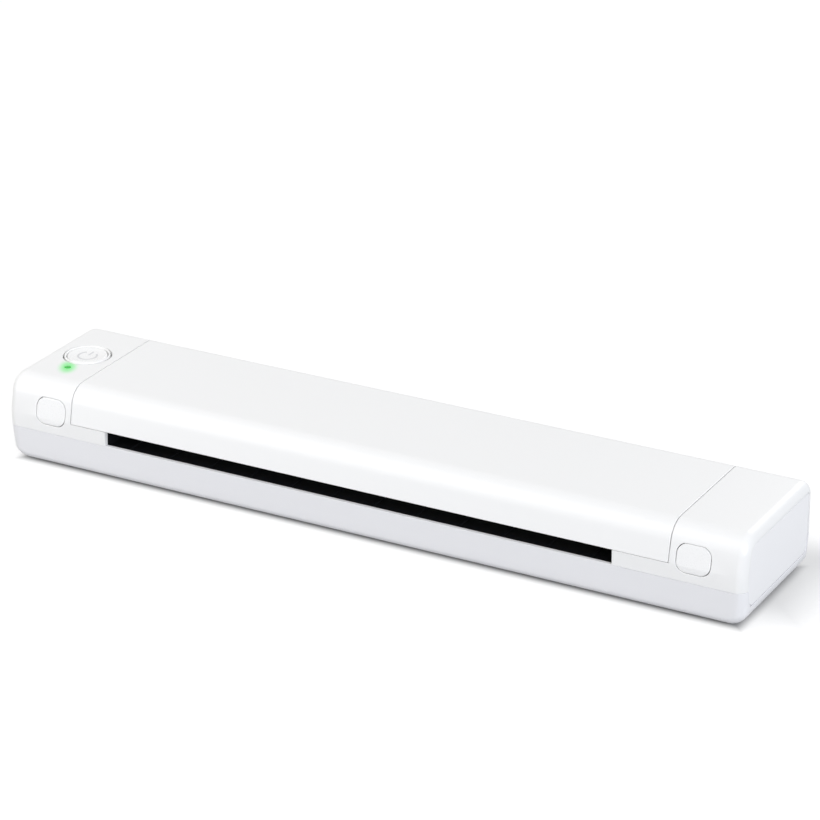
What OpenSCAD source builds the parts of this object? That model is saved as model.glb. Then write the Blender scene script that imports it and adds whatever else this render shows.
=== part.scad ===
// A4 portable thermal printer: a slim bar with a hinged cover over its print line.
// X runs along the bar, -Y is the front, Z is up from the table. All sizes are in millimetres.

/* [Case] */
// Length of the case, end plate to end plate
body_l = 314; // [305:0.5:330]
// Depth of the case, front to back
body_d = 60.8; // [59:0.2:64]
// Height of the case above the table
body_h = 35.4; // [34.6:0.2:38]
// Height of the line where the lower shell meets the end housings
parting_z = 15; // [14.4:0.1:15.6]
// Wall of the white mouldings
wall = 2; // [1.7:0.1:2.3]
// Floor of the lower shell
floor_t = 1.8; // [1.5:0.1:2.2]
// Radius of the rounding between the sides and each end
end_round = 4; // [3:0.25:4.5]
// Radius of the rounding between the bottom and each end
end_low_round = 7; // [5:0.5:7.5]
// Lean of the front face above the slot, in degrees
front_lean = 12; // [8:0.5:15]
// Radius between the leaning front and the top
front_round = 8.5; // [7:0.5:10]
// Radius of the rear top edge, which is also round the hinge
rear_round = 4.9; // [4.5:0.1:5.5]
// Radius of the bottom edges
bottom_round = 3.5; // [1:0.25:4]
// How far the front and back lean in towards the bottom
draft = 1; // [0.5:0.1:1.5]
// Depth of the groove that shows at the parting line
groove_depth = 0.3; // [0.2:0.05:0.4]
// Height of the groove that shows at the parting line
groove_h = 0.15; // [0.1:0.05:0.25]
// Thickness of the inlaid end plates
panel_t = 1.7; // [1.3:0.1:1.9]
// Depth of the end plates' outer faces below the case's ends
panel_sink = 0.2; // [0.1:0.05:0.4]
// Gap round the end plates
panel_gap = 0.2; // [0.1:0.05:0.3]

/* [Cover] */
// Length of the hinged cover
cover_l = 254.5; // [250:0.5:257]
// Gap between the cover and each end housing
seam = 0.3; // [0.2:0.05:0.5]
// Gap between the cover's lower edges and what lies under them
lip_gap = 0.15; // [0.1:0.05:0.3]
// Diameter of the hinge pins
hinge_pin_d = 3; // [2.5:0.1:3.5]
// Length of each hinge pin
hinge_pin_l = 12; // [10:0.5:13]
// Outer diameter of the hinge barrels
hinge_barrel_d = 8; // [7:0.2:8.6]
// Lowest reach of the cover's rear lip, as a radius about the hinge
rear_lip_r = 10.15; // [9.8:0.05:10.4]
// Thickness of the stiffening ribs inside the cover
cover_rib_t = 1.2; // [0.8:0.1:1.6]

/* [Paper path] */
// Width of the paper slot
slot_w = 216.7; // [214:0.1:218]
// Distance of the slot's middle from the case's middle
slot_x = -3.05; // [-4:0.05:-2]
// Height of the paper slot at the front and back
slot_h = 6; // [5.6:0.1:6.4]
// Height of the print line above the parting line
print_rise = 2.5; // [2.3:0.1:2.7]
// Drop from the parting line to the paper deck
deck_drop = 0.8; // [0.6:0.05:1]
// Thickness of the paper deck
deck_t = 1.5; // [1.2:0.1:1.8]
// Height of the paper ribs on the deck
rib_h = 0.7; // [0.4:0.05:0.8]
// Thickness of the paper ribs on the deck
rib_t = 1.2; // [0.8:0.1:1.6]
// Spacing of the paper ribs along the bar
rib_pitch = 18; // [14:1:26]

/* [Platen and gears] */
// Diameter of the rubber platen
platen_d = 12; // [11:0.2:12.4]
// Diameter of the platen shaft
shaft_d = 5; // [4.5:0.1:5.5]
// Distance of the print line behind the case's middle
platen_y = -2; // [-3:0.1:-1]
// Running clearance of a shaft in its bush, on the radius
running_gap = 0.03; // [0.02:0.005:0.06]
// Module of the gear teeth
gear_module = 0.4; // [0.38:0.005:0.41]
// Teeth of the platen gear
platen_teeth = 30; // [28:1:31]
// Teeth of the idler's small gear
idler_small_teeth = 12; // [12:1:13]
// Teeth of the idler's large gear
idler_large_teeth = 25; // [24:1:26]
// Teeth of the motor pinion
pinion_teeth = 12; // [12:1:13]
// Face width of the platen gear
gear_face = 4.2; // [3.6:0.1:4.4]
// Diameter of the stepper motor's can
motor_d = 15.6; // [14.6:0.2:15.8]
// Length of the stepper motor's can
motor_l = 16; // [13:0.5:20]
// Height of the motor's shaft above the table
motor_z = 10.9; // [10.7:0.05:11.2]
// Height of the idler's axle above the table
idler_z = 9.7; // [9.4:0.1:10]
// Diameter of the idler's axle
axle_d = 2; // [1.6:0.1:2.4]
// Thickness of the steel plate that carries the motor
plate_t = 1.2; // [1:0.1:1.4]

/* [Print head] */
// Gap for the sheet between the platen and the head
sheet_gap = 0.15; // [0.1:0.05:0.25]
// Thickness of the ceramic strip
ceramic_t = 1; // [0.8:0.1:1.2]
// Thickness of the head's heat sink
sink_t = 3.2; // [2.8:0.1:3.6]
// Depth of the head's heat sink, front to back
sink_d = 17.2; // [16:0.2:17.4]
// Upward travel of the head on its springs
head_travel = 0.8; // [0.5:0.1:1]
// Wall of the black inner frame
frame_t = 1.5; // [1.2:0.1:1.8]

/* [Buttons] */
// Width of the release buttons
release_w = 13.2; // [12.4:0.2:13.6]
// Height of the release buttons
release_h = 10.6; // [10:0.2:12]
// Corner radius of the release buttons
release_r = 4; // [3.5:0.25:4.75]
// Distance of the release buttons from the case's middle
release_x = 136.8; // [136.6:0.1:138]
// Height of the release buttons' middle
release_z = 23.9; // [23.6:0.1:24.4]
// Travel of the release buttons
release_travel = 2.2; // [1.5:0.1:2.4]
// Gap round the release buttons
release_gap = 0.25; // [0.2:0.05:0.35]
// Diameter of the power button's cap
power_d = 16; // [15:0.2:16.4]
// Outer diameter of the power button's ring
power_ring_d = 19.2; // [18.8:0.2:20]
// Distance of the power button from the case's middle
power_x = 140.6; // [140:0.1:141.4]
// Distance of the power button behind the case's middle
power_y = 2.1; // [1.6:0.1:3]
// Travel of the power button
power_travel = 0.6; // [0.4:0.05:0.7]
// Diameter of the green status lens
lens_d = 2.5; // [2:0.1:3]
// Distance of the lens in front of the power button's middle
lens_dy = 13.6; // [13:0.1:13.8]

/* [Feet and base] */
// Height of the gap that the feet leave under the case
foot_h = 1; // [0.8:0.1:1.4]
// Diameter of the rubber feet
foot_d = 10; // [8:0.5:11]
// Distance of the feet from the case's middle, along the bar
foot_x = 132; // [120:1:134]
// Distance of the feet from the case's middle, front to back
foot_y = 21; // [18:0.5:22]
// Width of the connector on the left end
usb_w = 8.94; // [8.9:0.02:9]
// Height of the connector on the left end
usb_h = 3.26; // [3.2:0.02:3.3]
// Distance of the connector behind the case's middle
usb_y = 2; // [0:0.5:4]

/* [Hidden] */

// How finely curves are drawn
$fn = 48;
// A cut passes this far beyond the face that it opens
over = 1;
// Gap of a part that drops into its seat
seat_gap = 0.1;
// Thickness of the slices that the rounded case is lofted through
slice_t = 0.01;
// Share of the lift that the bottom corners' radius gains towards the ends
low_blend = 0.35;

// Main levels, from the table up
floor_top = foot_h + floor_t;
deck_top = parting_z - deck_drop;
deck_under = deck_top - deck_t;
print_z = parting_z + print_rise;
platen_z = print_z - platen_d / 2;
lip_z = parting_z + slot_h;
shelf_top = lip_z - lip_gap;
shelf_t = 1.5;
shelf_under = shelf_top - shelf_t;
cheek_t = 1.2;
top_under = body_h - wall;

// Main places along the bar and across it
half_l = body_l / 2;
half_d = body_d / 2;
half_cover = cover_l / 2;
bay_x = half_cover + seam;
panel_x = half_l - panel_sink - panel_t;
end_inner_x = panel_x - wall;
panel_edge = end_round - 0.15;
slot_left = slot_w / 2 - slot_x;
slot_right = slot_w / 2 + slot_x;
inner_y = half_d - wall;

// The hinge runs through the middle of the rear top rounding
hinge_y = half_d - rear_round;
hinge_z = body_h - rear_round;
hinge_sweep_r = rear_lip_r + seam;

// Gear bay on the right: bearing plate, gears, steel plate, motor
bearing_t = 2.4;
bearing_off = 2.3;
bearing_right = slot_right + bearing_off;
bearing_left = slot_left + bearing_off;
bush_d = 8;
bush_flange_d = 9.6;
bush_flange_t = 1;
gear_x0 = bearing_right + bearing_t + bush_flange_t + 1.2;
gear_x1 = gear_x0 + gear_face;
large_face = 2;
large_x0 = gear_x1 + 0.5;
plate_x = large_x0 + large_face + 0.7;

// Gear circles and the places of their axes, from the tooth counts
function pitch_r(teeth) = gear_module * teeth / 2;
platen_idler = pitch_r(platen_teeth) + pitch_r(idler_small_teeth);
motor_idler = pitch_r(pinion_teeth) + pitch_r(idler_large_teeth);
idler_y = platen_y + sqrt(pow(platen_idler, 2) - pow(idler_z - platen_z, 2));
motor_y = idler_y + sqrt(pow(motor_idler, 2) - pow(motor_z - idler_z, 2));
to_idler = atan2(idler_z - platen_z, idler_y - platen_y);
to_motor = atan2(motor_z - idler_z, motor_y - idler_y);

// Print head stack, and the frame that the springs push it away from
ceramic_z = print_z + sheet_gap;
sink_z = ceramic_z + ceramic_t;
sink_top = sink_z + sink_t;
screw_head_t = 1.2;
web_top = top_under - screw_head_t - head_travel - 0.4;
web_under = web_top - frame_t;
spring_wire = 0.5;
head_spring_r = 2.1;
pocket_y = sink_d / 2 + 0.4;
flange_z = lip_z + 0.3;
flange_top = flange_z + frame_t;
frame_x0 = -slot_left + 0.7;
frame_x1 = slot_right - 0.7;
head_x0 = frame_x0 + frame_t + 0.4;
head_x1 = frame_x1 - frame_t - 0.4;
head_screw_x = [for (i = [0:3]) head_x0 + (head_x1 - head_x0) * (2 * i + 1) / 8];
frame_screw_x = [for (i = [0:2]) frame_x0 + 6 + (frame_x1 - frame_x0 - 12) * i / 2];
frame_screw_front = -inner_y + 7.2;
frame_screw_rear = pocket_y + frame_t + 4.6;

// Latch: a slider behind each release button, with a bar that hooks the cover's catch
catch_w = 6;
catch_t = 1.6;
catch_y = -inner_y + 4.4;
nose_l = 0.6;
nose_top = shelf_under - 2.05;
nose_t = 1.3;
bar_t = 1.5;
bar_top = shelf_under - 0.25;
bar_gap = 0.3;
bar_y = catch_y + catch_t + nose_l + bar_gap;
slider_front = -inner_y + 4.8;
slider_rear = slider_front + 7.6;
latch_spring_l = release_travel + 4.8;
stop_y = slider_rear + latch_spring_l;
stop_t = 1.6;
latch_spring_r = 2.2;
rail_t = 1.2;
rail_top = release_z + 2.5;
function catch_x(edge) = (edge + half_cover) / 2;

// Power button stack, under the left end housing's top
power_proud = 0.35;
cap_proud = 0.2;
cap_t = 2.2;
cap_gap = 0.2;
ring_gap = 0.15;
ring_shoulder_d = power_ring_d + 1.6;
board_t = 1.6;
button_board_top = body_h - 5.8;
switch_h = 2.1;
plunger_top = button_board_top + 2.5;

// Screws and posts
case_screw_x = half_l - 8.5;
case_screw_front = -half_d + 10.3;
case_screw_rear = half_d - 7.3;
counterbore_top = 9;
head_r = 2.4;
thread_r = 0.95;
shank_r = 1.25;

// ---------- shapes that repeat ----------

function arc(cy, cz, r, a0, a1, steps) =
    [for (i = [0:steps]) let (a = a0 + (a1 - a0) * i / steps) [cy + r * cos(a), cz + r * sin(a)]];

// Side outline of the case as [y, z] points, moved inwards by d, with its bottom raised by lift
function outline(d, lift) =
    let (
        top_r = max(front_round, d + 0.3),
        back_r = max(rear_round, d + 0.3),
        low_r = max(bottom_round, d + 0.3 + lift * low_blend),
        low_z = foot_h + lift + low_r - d,
        lean_y = -half_d + (body_h - top_r - lip_z) * tan(front_lean) + top_r / cos(front_lean)
    )
    concat(
        arc(lean_y, body_h - top_r, top_r - d, 180 - front_lean, 90, 12),
        arc(half_d - back_r, body_h - back_r, back_r - d, 90, 0, 8),
        [[half_d - d, parting_z]],
        arc(half_d - draft - low_r, low_z, low_r - d, 0, -90, 4),
        arc(-half_d + draft + low_r, low_z, low_r - d, -90, -180, 4),
        [[-half_d + d, parting_z], [-half_d + d, lip_z - d * tan(front_lean / 2)]]
    );

module along_x(x0, x1) {
    translate([x0, 0, 0]) rotate([90, 0, 90]) linear_extrude(x1 - x0) children();
}

module along_y(y0, y1) {
    translate([0, y1, 0]) rotate([90, 0, 0]) linear_extrude(y1 - y0) children();
}

module block(x0, x1, y0, y1, z0, z1) {
    translate([x0, y0, z0]) cube([x1 - x0, y1 - y0, z1 - z0]);
}

module post(x, y, z0, z1, r) {
    translate([x, y, z0]) cylinder(h = z1 - z0, r = r);
}

module rod_x(x0, x1, y, z, r) {
    translate([x0, y, z]) rotate([0, 90, 0]) cylinder(h = x1 - x0, r = r);
}

module rounded(w, h, r) {
    hull() for (sx = [-1, 1], sy = [-1, 1])
        translate([sx * (w / 2 - r), sy * (h / 2 - r)]) circle(r);
}

// The whole case as one smooth form: the outline lofted to both ends with rounded edges
module case_form() {
    steps = 7;
    hull() for (side = [-1, 1], i = [0:steps]) {
        a = 90 * i / steps;
        x = half_l - end_low_round * (1 - sin(a)) - slice_t;
        lift = end_low_round * (1 - cos(a));
        into = max(0, x + slice_t - half_l + end_round);
        along_x(side > 0 ? x : -x - slice_t, side > 0 ? x + slice_t : -x)
            polygon(outline(end_round - sqrt(pow(end_round, 2) - pow(into, 2)), lift));
    }
}

// A screw that stands on its tip: shank from z0 up to its head, which ends at z1
module screw(x, y, z0, z1) {
    post(x, y, z0, z1 - screw_head_t + 0.02, shank_r);
    difference() {
        post(x, y, z1 - screw_head_t, z1, head_r - 0.2);
        translate([x, y, z1 - 0.6]) cylinder(h = over, r = 1, $fn = 6);
    }
}

// Round wire wound on a helix that starts at z = 0 and ends at z = length
module coil(r, wire, length, turns) {
    sides = 6;
    per_turn = 12;
    rings = per_turn * turns;
    rise = (length - wire) / rings;
    function ring_at(i) =
        let (a = 360 * i / per_turn)
        [for (k = [0:sides - 1])
            let (b = 360 * k / sides, q = r + wire / 2 * cos(b))
            [q * cos(a), q * sin(a), wire / 2 + rise * i + wire / 2 * sin(b)]];
    function quad(i, k) =
        let (m = (k + 1) % sides, a = i * sides + k, b = i * sides + m)
        [[a, b, b + sides], [a, b + sides, a + sides]];
    points = [for (i = [0:rings]) for (p = ring_at(i)) p];
    faces = concat(
        [[for (k = [sides - 1:-1:0]) k]],
        [for (i = [0:rings - 1]) for (k = [0:sides - 1]) for (f = quad(i, k)) f],
        [[for (k = [0:sides - 1]) rings * sides + k]]
    );
    gap = norm(points[per_turn * sides] - points[0]) - wire;
    echo(str("gap between the turns of a spring: ", gap));
    polyhedron(points, faces);
}

// Involute gear outline: teeth thinned for backlash, standing on a root circle
module gear_outline(teeth) {
    pressure = 20;
    backlash = 0.1;
    pitch = pitch_r(teeth);
    base = pitch * cos(pressure);
    root = pitch - 1.15 * gear_module;
    tip = pitch + 0.9 * gear_module;
    function involute(a) = tan(a) - a * PI / 180;
    half = 90 / teeth - backlash / 2 / pitch * 180 / PI;
    function lean(r) = half + (involute(pressure) - involute(acos(min(1, base / r)))) * 180 / PI;
    low = max(base, root);
    radii = [low, (low + pitch) / 2, pitch, (pitch + tip) / 2, tip];
    flank = concat([[root, lean(low)]], [for (r = radii) [r, lean(r)]]);
    polygon([for (k = [0:teeth - 1]) let (c = 360 * k / teeth) each concat(
        [for (p = flank) [p[0] * cos(c - p[1]), p[0] * sin(c - p[1])]],
        [for (i = [len(flank) - 1:-1:0]) let (p = flank[i])
            [p[0] * cos(c + p[1]), p[0] * sin(c + p[1])]]
    )]);
}

module gear_at(x0, x1, y, z, teeth, turn) {
    translate([x0, y, z]) rotate([90, 0, 90]) rotate(turn) linear_extrude(x1 - x0) gear_outline(teeth);
}

// ---------- lower shell ----------

module left_and_right() {
    for (side = [0, 1]) mirror([side, 0, 0]) children();
}

module usb_hole() {
    translate([0, usb_y, charge_top + usb_h / 2]) rotate([90, 0, 90])
        linear_extrude(2 * wall + 4, center = true) rounded(usb_w + 0.6, usb_h + 0.6, usb_h / 2);
}

main_board_x0 = -slot_left + 8;
main_board_x1 = 64;
main_board_y0 = -inner_y + 2;
main_board_y1 = platen_y - platen_d / 2 - 2.6;
main_board_z = floor_top + 1.8;
charge_top = floor_top + 7;
charge_x0 = -end_inner_x + 0.3;
charge_x1 = charge_x0 + 17.4;
battery_x0 = -slot_left + 16;
battery_x1 = 72;
battery_y0 = platen_y + platen_d / 2 + 3.2;
battery_y1 = inner_y - 2.4;
battery_h = 8;
deck_x0 = -bearing_left - bearing_t - 7.4;
deck_x1 = plate_x - 1.1;
deck_screw_y = inner_y - 6.8;
deck_screws_at = [
    [deck_x0 + 4, -deck_screw_y], [deck_x0 + 4, deck_screw_y],
    [gear_x0 + 1.4, -deck_screw_y], [gear_x0 + 1.4, deck_screw_y + 2]
];
board_screws_at = [for (x = [main_board_x0 + 3, main_board_x1 - 3],
    y = [main_board_y0 + 3, main_board_y1 - 3]) [x, y]];
charge_screws_at = [for (y = [-7, 7.6]) [charge_x1 - 3, usb_y + y]];
plate_foot_z = floor_top + 2.2;
plate_screws_at = [[plate_x + 4.2, platen_y - 2.4], [plate_x + 4.2, motor_y + motor_d / 2 + 3]];

module lower_shell() {
    ledge_t = 1.3;
    color("#e3e4e6") difference() {
        union() {
            difference() {
                intersection() {
                    case_form();
                    block(-half_l - over, half_l + over, -half_d - over, half_d + over, 0, parting_z);
                }
                intersection() {
                    along_x(-end_inner_x, end_inner_x) polygon(outline(wall, wall));
                    block(-half_l, half_l, -half_d, half_d, floor_top, parting_z + over);
                }
            }
            // Ledges that carry the paper deck along the front and back walls
            for (side = [0, 1]) mirror([0, side, 0])
                block(deck_x0, deck_x1, -inner_y - 0.2, -inner_y + ledge_t, deck_under - 1.6, deck_under);
            // Posts for the case screws, up to the parting line
            left_and_right() for (y = [case_screw_front, case_screw_rear])
                post(case_screw_x, y, foot_h, parting_z, 4.2);
            for (p = deck_screws_at) post(p[0], p[1], floor_top - over, deck_under, 2.6);
            for (p = board_screws_at) post(p[0], p[1], floor_top - over, main_board_z, 2.4);
            for (p = charge_screws_at) post(p[0], p[1], floor_top - over, charge_top - board_t, 2.4);
            for (p = plate_screws_at) post(p[0], p[1], floor_top - over, plate_foot_z, 2.4);
            // Rest for the charge board's outer edge
            block(charge_x0, charge_x0 + 3, usb_y - 8, usb_y + 8, floor_top - over, charge_top - board_t);
            // Fence round the battery
            difference() {
                block(battery_x0 - 1.6, battery_x1 + 1.6, battery_y0 - 1.6, battery_y1 + 1.6,
                    floor_top - over, floor_top + 4.2);
                block(battery_x0 - 0.4, battery_x1 + 0.4, battery_y0 - 0.4, battery_y1 + 0.4,
                    floor_top - over, floor_top + 6);
            }
            // Cross ribs under the platen
            for (x = [-80:40:80])
                block(x - 0.6, x + 0.6, main_board_y1 + 1, battery_y0 - 1.2, floor_top - over,
                    floor_top + 1.6);
        }
        seam_cut(parting_z - groove_h);
        left_and_right() {
            panel_recess();
            for (y = [case_screw_front, case_screw_rear]) {
                post(case_screw_x, y, 0, counterbore_top, head_r + 0.4);
                post(case_screw_x, y, 0, parting_z + over, shank_r + 0.25);
            }
            for (y = [-foot_y, foot_y])
                post(foot_x, y, 0, foot_h + 0.8, foot_d / 2 + 0.1);
            panel_peg_holes(peg_low_z);
        }
        for (p = deck_screws_at) post(p[0], p[1], floor_top + 1, deck_under + over, thread_r + 0.35);
        for (p = board_screws_at) post(p[0], p[1], floor_top - 0.6, main_board_z + over, thread_r + 0.35);
        for (p = charge_screws_at) post(p[0], p[1], floor_top + 0.4, charge_top, thread_r + 0.35);
        for (p = plate_screws_at) post(p[0], p[1], floor_top - 0.6, plate_foot_z + over, thread_r + 0.35);
        translate([-half_l, 0, 0]) usb_hole();
    }
}

// Shallow groove along the parting line, which fades out at the rounded ends
module seam_cut(z) {
    difference() {
        block(-half_l - over, half_l + over, -half_d - over, half_d + over, z, z + groove_h);
        along_x(-half_l + 0.4, half_l - 0.4) polygon(outline(groove_depth, groove_depth));
    }
}

// ---------- end plates ----------

peg_y = 9;
peg_low_z = (parting_z + foot_h + end_low_round) / 2;
peg_high_z = (parting_z + top_under) / 2 + 1;
peg_r = 1.5;

module panel_recess() {
    along_x(panel_x, half_l + over) polygon(outline(panel_edge, end_low_round - 0.15));
}

module panel_peg_holes(z) {
    for (y = [-peg_y, peg_y + 4]) rod_x(end_inner_x - over, half_l, y, z, peg_r + seat_gap);
}

module side_panel() {
    along_x(panel_x, panel_x + panel_t) polygon(outline(panel_edge + panel_gap, end_low_round - 0.15 + panel_gap));
    for (y = [-peg_y, peg_y + 4], z = [peg_low_z, peg_high_z])
        rod_x(end_inner_x + 0.2, panel_x + 0.2, y, z, peg_r);
}

module left_side_panel() {
    color("#ecedef") difference() {
        mirror([1, 0, 0]) side_panel();
        translate([-half_l, 0, 0]) usb_hole();
    }
}

module right_side_panel() {
    color("#ecedef") side_panel();
}

// ---------- end housings ----------

module release_outline(grow) {
    translate([release_x, release_z]) rounded(release_w + 2 * grow, release_h + 2 * grow, release_r + grow);
}

// Upper moulding of the right end. edge is the distance of the paper slot's side from the middle
module end_housing(edge) {
    difference() {
        union() {
            difference() {
                intersection() {
                    case_form();
                    union() {
                        block(bay_x, half_l + over, -half_d - over, half_d + over, parting_z, body_h + over);
                        block(edge, bay_x + 0.2, -half_d - over, half_d + over, parting_z, shelf_top);
                    }
                }
                along_x(bay_x + wall, end_inner_x) polygon(outline(wall, wall));
                intersection() {
                    along_x(edge - over, bay_x + wall + over) polygon(outline(wall, wall));
                    block(0, half_l, -half_d, half_d, 0, shelf_under);
                }
                along_x(edge - over, edge + cheek_t + seat_gap) polygon(outline(wall, wall));
                // The cover's rear lip swings down into this trough
                rod_x(edge - over, bay_x, hinge_y, hinge_z, hinge_sweep_r);
                seam_cut(parting_z);
                panel_recess();
                panel_peg_holes(peg_high_z);
            }
            // Posts that take the case screws
            for (y = [case_screw_front, case_screw_rear])
                post(case_screw_x, y, parting_z, top_under + 0.5, 3);
            // Barrel round the hinge pin
            intersection() {
                rod_x(bay_x, bay_x + wall + 4.4, hinge_y, hinge_z, hinge_barrel_d / 2);
                case_form();
            }
            // Rails and end stop of the latch slider
            block(release_x + release_w / 2 + release_gap, release_x + release_w / 2 + release_gap + rail_t,
                -inner_y - 0.2, stop_y + stop_t, shelf_under + 0.2, rail_top);
            block(bay_x + wall - 0.2, release_x + release_w / 2 + release_gap + rail_t, stop_y,
                stop_y + stop_t, shelf_under + 0.2, rail_top);
        }
        for (y = [case_screw_front, case_screw_rear])
            post(case_screw_x, y, parting_z - over, parting_z + 9, thread_r + 0.35);
        rod_x(bay_x - over, bay_x + wall + 5, hinge_y, hinge_z, hinge_pin_d / 2 + 0.04);
        along_y(-half_d - over, -inner_y + 4) release_outline(release_gap);
        // Window in the shelf that the cover's catch drops through
        block(catch_x(edge) - catch_w / 2 - 0.5, catch_x(edge) + catch_w / 2 + 0.5, catch_y - 3.2,
            bar_y + 3.4, shelf_under - over, shelf_top + over);
    }
}

lens_y = power_y - lens_dy;
button_bosses = [[-7.3, -14.4], [7.3, -14.4], [0, 13.4]];

module left_end_housing() {
    color("#f3f3f1") difference() {
        union() {
            mirror([1, 0, 0]) end_housing(slot_left);
            // Bosses that hold the button board under the top
            for (b = button_bosses)
                post(-power_x + b[0], power_y + b[1], button_board_top, top_under + 0.5, 2.3);
        }
        post(-power_x, power_y, top_under - over, body_h + over, power_ring_d / 2 + ring_gap);
        post(-power_x, lens_y, top_under - over, body_h + over, lens_d / 2 + 0.05);
        for (b = button_bosses)
            post(-power_x + b[0], power_y + b[1], button_board_top - over, button_board_top + 3,
                thread_r + 0.35);
    }
}

module right_end_housing() {
    color("#f3f3f1") end_housing(slot_right);
}

// ---------- paper deck ----------

platen_slot_y0 = platen_y - platen_d / 2 - 0.4;
platen_slot_y1 = platen_y + platen_d / 2 + 0.4;
sensor_x = -60;
sensor_y = -inner_y + 12.6;
sensor_w = 5;
sensor_d = 3.4;
sensor_h = 3.2;
cover_switch_x = -slot_left - 8.5;
cover_switch_y = 11;

module bearing_plate(x) {
    y0 = platen_y - 7;
    y1 = platen_y + 7;
    block(x, x + bearing_t, y0, y1, platen_z - 7, platen_z + 2);
    rod_x(x, x + bearing_t, platen_y, platen_z, 7);
}

module bush_bore(x) {
    rod_x(x - over, x + bearing_t + over, platen_y, platen_z, bush_d / 2 + 0.02);
}

module paper_deck() {
    edge_y = inner_y - 0.2 - draft * (parting_z - deck_under) / (parting_z - foot_h);
    color("#17181a") difference() {
        union() {
            difference() {
                block(deck_x0, deck_x1, -edge_y, edge_y, deck_under, deck_top);
                // Opening for the platen, the well of the shaft's left end, and the gear bay
                block(-bearing_left - 0.5, bearing_right + 0.5, platen_slot_y0, platen_slot_y1,
                    deck_under - over, deck_top + over);
                block(shaft_x0 - 0.6, -bearing_left, platen_y - shaft_d / 2 - 2.4, platen_y + shaft_d / 2 + 2.4,
                    deck_under - over, deck_top + over);
                block(bearing_right + bearing_t, deck_x1 + over, platen_y - 8, inner_y - 8.6, deck_under - over,
                    deck_top + over);
            }
            // Flanges that stiffen both edges of the platen opening
            for (y = [platen_slot_y0 - 1.2, platen_slot_y1])
                block(-bearing_left - 0.5, bearing_right + 0.5, y, y + 1.2, deck_under - 2.6, deck_top);
            mirror([1, 0, 0]) cheek(slot_left);
            cheek(slot_right);
            mirror([1, 0, 0]) bearing_plate(bearing_left);
            bearing_plate(bearing_right);
            // Paper ribs in front of the platen and behind it
            for (x = [-slot_left + rib_pitch / 2:rib_pitch:slot_right - rib_pitch / 4]) {
                paper_rib(x, -inner_y + 1.2, platen_slot_y0 - 0.3);
                paper_rib(x, platen_slot_y1 + 0.3, inner_y - 1.2);
            }
        }
        mirror([1, 0, 0]) bush_bore(bearing_left);
        bush_bore(bearing_right);
        for (p = deck_screws_at) post(p[0], p[1], deck_under - over, deck_top + over, shank_r + 0.1);
        block(sensor_x - sensor_w / 2 - seat_gap, sensor_x + sensor_w / 2 + seat_gap,
            sensor_y - sensor_d / 2 - seat_gap, sensor_y + sensor_d / 2 + seat_gap, deck_under - over,
            deck_top + over);
    }
}

// Black side of the paper slot, up to the cover, with a notch that the cover's rear lip swings through
module cheek(x) {
    difference() {
        block(x, x + cheek_t, -inner_y + 0.2, inner_y - 0.2, deck_top - 0.2, shelf_top - 0.05);
        rod_x(x - over, x + cheek_t + over, hinge_y, hinge_z, hinge_sweep_r);
        rod_x(x - over, x + cheek_t + over, platen_y, platen_z, shaft_d / 2 + 0.8);
    }
}

// A low fin along the paper's way, with sloped ends
module paper_rib(x, y0, y1) {
    along_x(x - rib_t / 2, x + rib_t / 2) polygon([
        [y0, deck_top - 0.2], [y1, deck_top - 0.2], [y1, deck_top], [y1 - 1.4, deck_top + rib_h],
        [y0 + 1.4, deck_top + rib_h], [y0, deck_top]
    ]);
}

// ---------- platen ----------

rubber_x0 = -slot_left + 3;
rubber_x1 = slot_right - 3;
shaft_x0 = -bearing_left - bearing_t - bush_flange_t - 2.2;
shaft_x1 = gear_x1 + 1.6;
clip_x = -bearing_left - bearing_t - bush_flange_t - 0.8;
clip_groove_r = shaft_d / 2 - 0.4;

module platen_shaft() {
    color("#b9bcc0") difference() {
        rod_x(shaft_x0, shaft_x1, platen_y, platen_z, shaft_d / 2);
        difference() {
            rod_x(clip_x - 0.05, clip_x + 0.65, platen_y, platen_z, shaft_d);
            rod_x(clip_x - over, clip_x + over + 0.6, platen_y, platen_z, clip_groove_r);
        }
    }
}

module platen_rubber() {
    color("#3a3b3e") difference() {
        rod_x(rubber_x0, rubber_x1, platen_y, platen_z, platen_d / 2);
        rod_x(rubber_x0 - over, rubber_x1 + over, platen_y, platen_z, shaft_d / 2 + 0.01);
    }
}

module platen_gear() {
    color("#e8e6dc") difference() {
        union() {
            gear_at(gear_x0, gear_x1, platen_y, platen_z, platen_teeth, to_idler);
            rod_x(gear_x0 - 1, gear_x0 + over, platen_y, platen_z, shaft_d / 2 + 1.3);
        }
        rod_x(gear_x0 - 2, gear_x1 + over, platen_y, platen_z, shaft_d / 2 + 0.01);
    }
}

// Open ring that snaps into the groove at the shaft's left end
module shaft_clip() {
    color("#8d9095") translate([clip_x, platen_y, platen_z]) rotate([90, 0, 90]) linear_extrude(0.6)
        difference() {
            circle(shaft_d / 2 + 1.4);
            circle(clip_groove_r + 0.05);
            translate([-clip_groove_r * 0.7, -shaft_d - 2]) square([clip_groove_r * 1.4, shaft_d + 2]);
        }
}

module bush(x) {
    difference() {
        union() {
            rod_x(x, x + bearing_t, platen_y, platen_z, bush_d / 2);
            rod_x(x + bearing_t, x + bearing_t + bush_flange_t, platen_y, platen_z, bush_flange_d / 2);
        }
        rod_x(x - over, x + bearing_t + bush_flange_t + over, platen_y, platen_z, shaft_d / 2 + running_gap);
    }
}

module left_bush() {
    color("#c9a05a") mirror([1, 0, 0]) bush(bearing_left);
}

module right_bush() {
    color("#c9a05a") bush(bearing_right);
}

// ---------- gears and motor ----------

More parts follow.
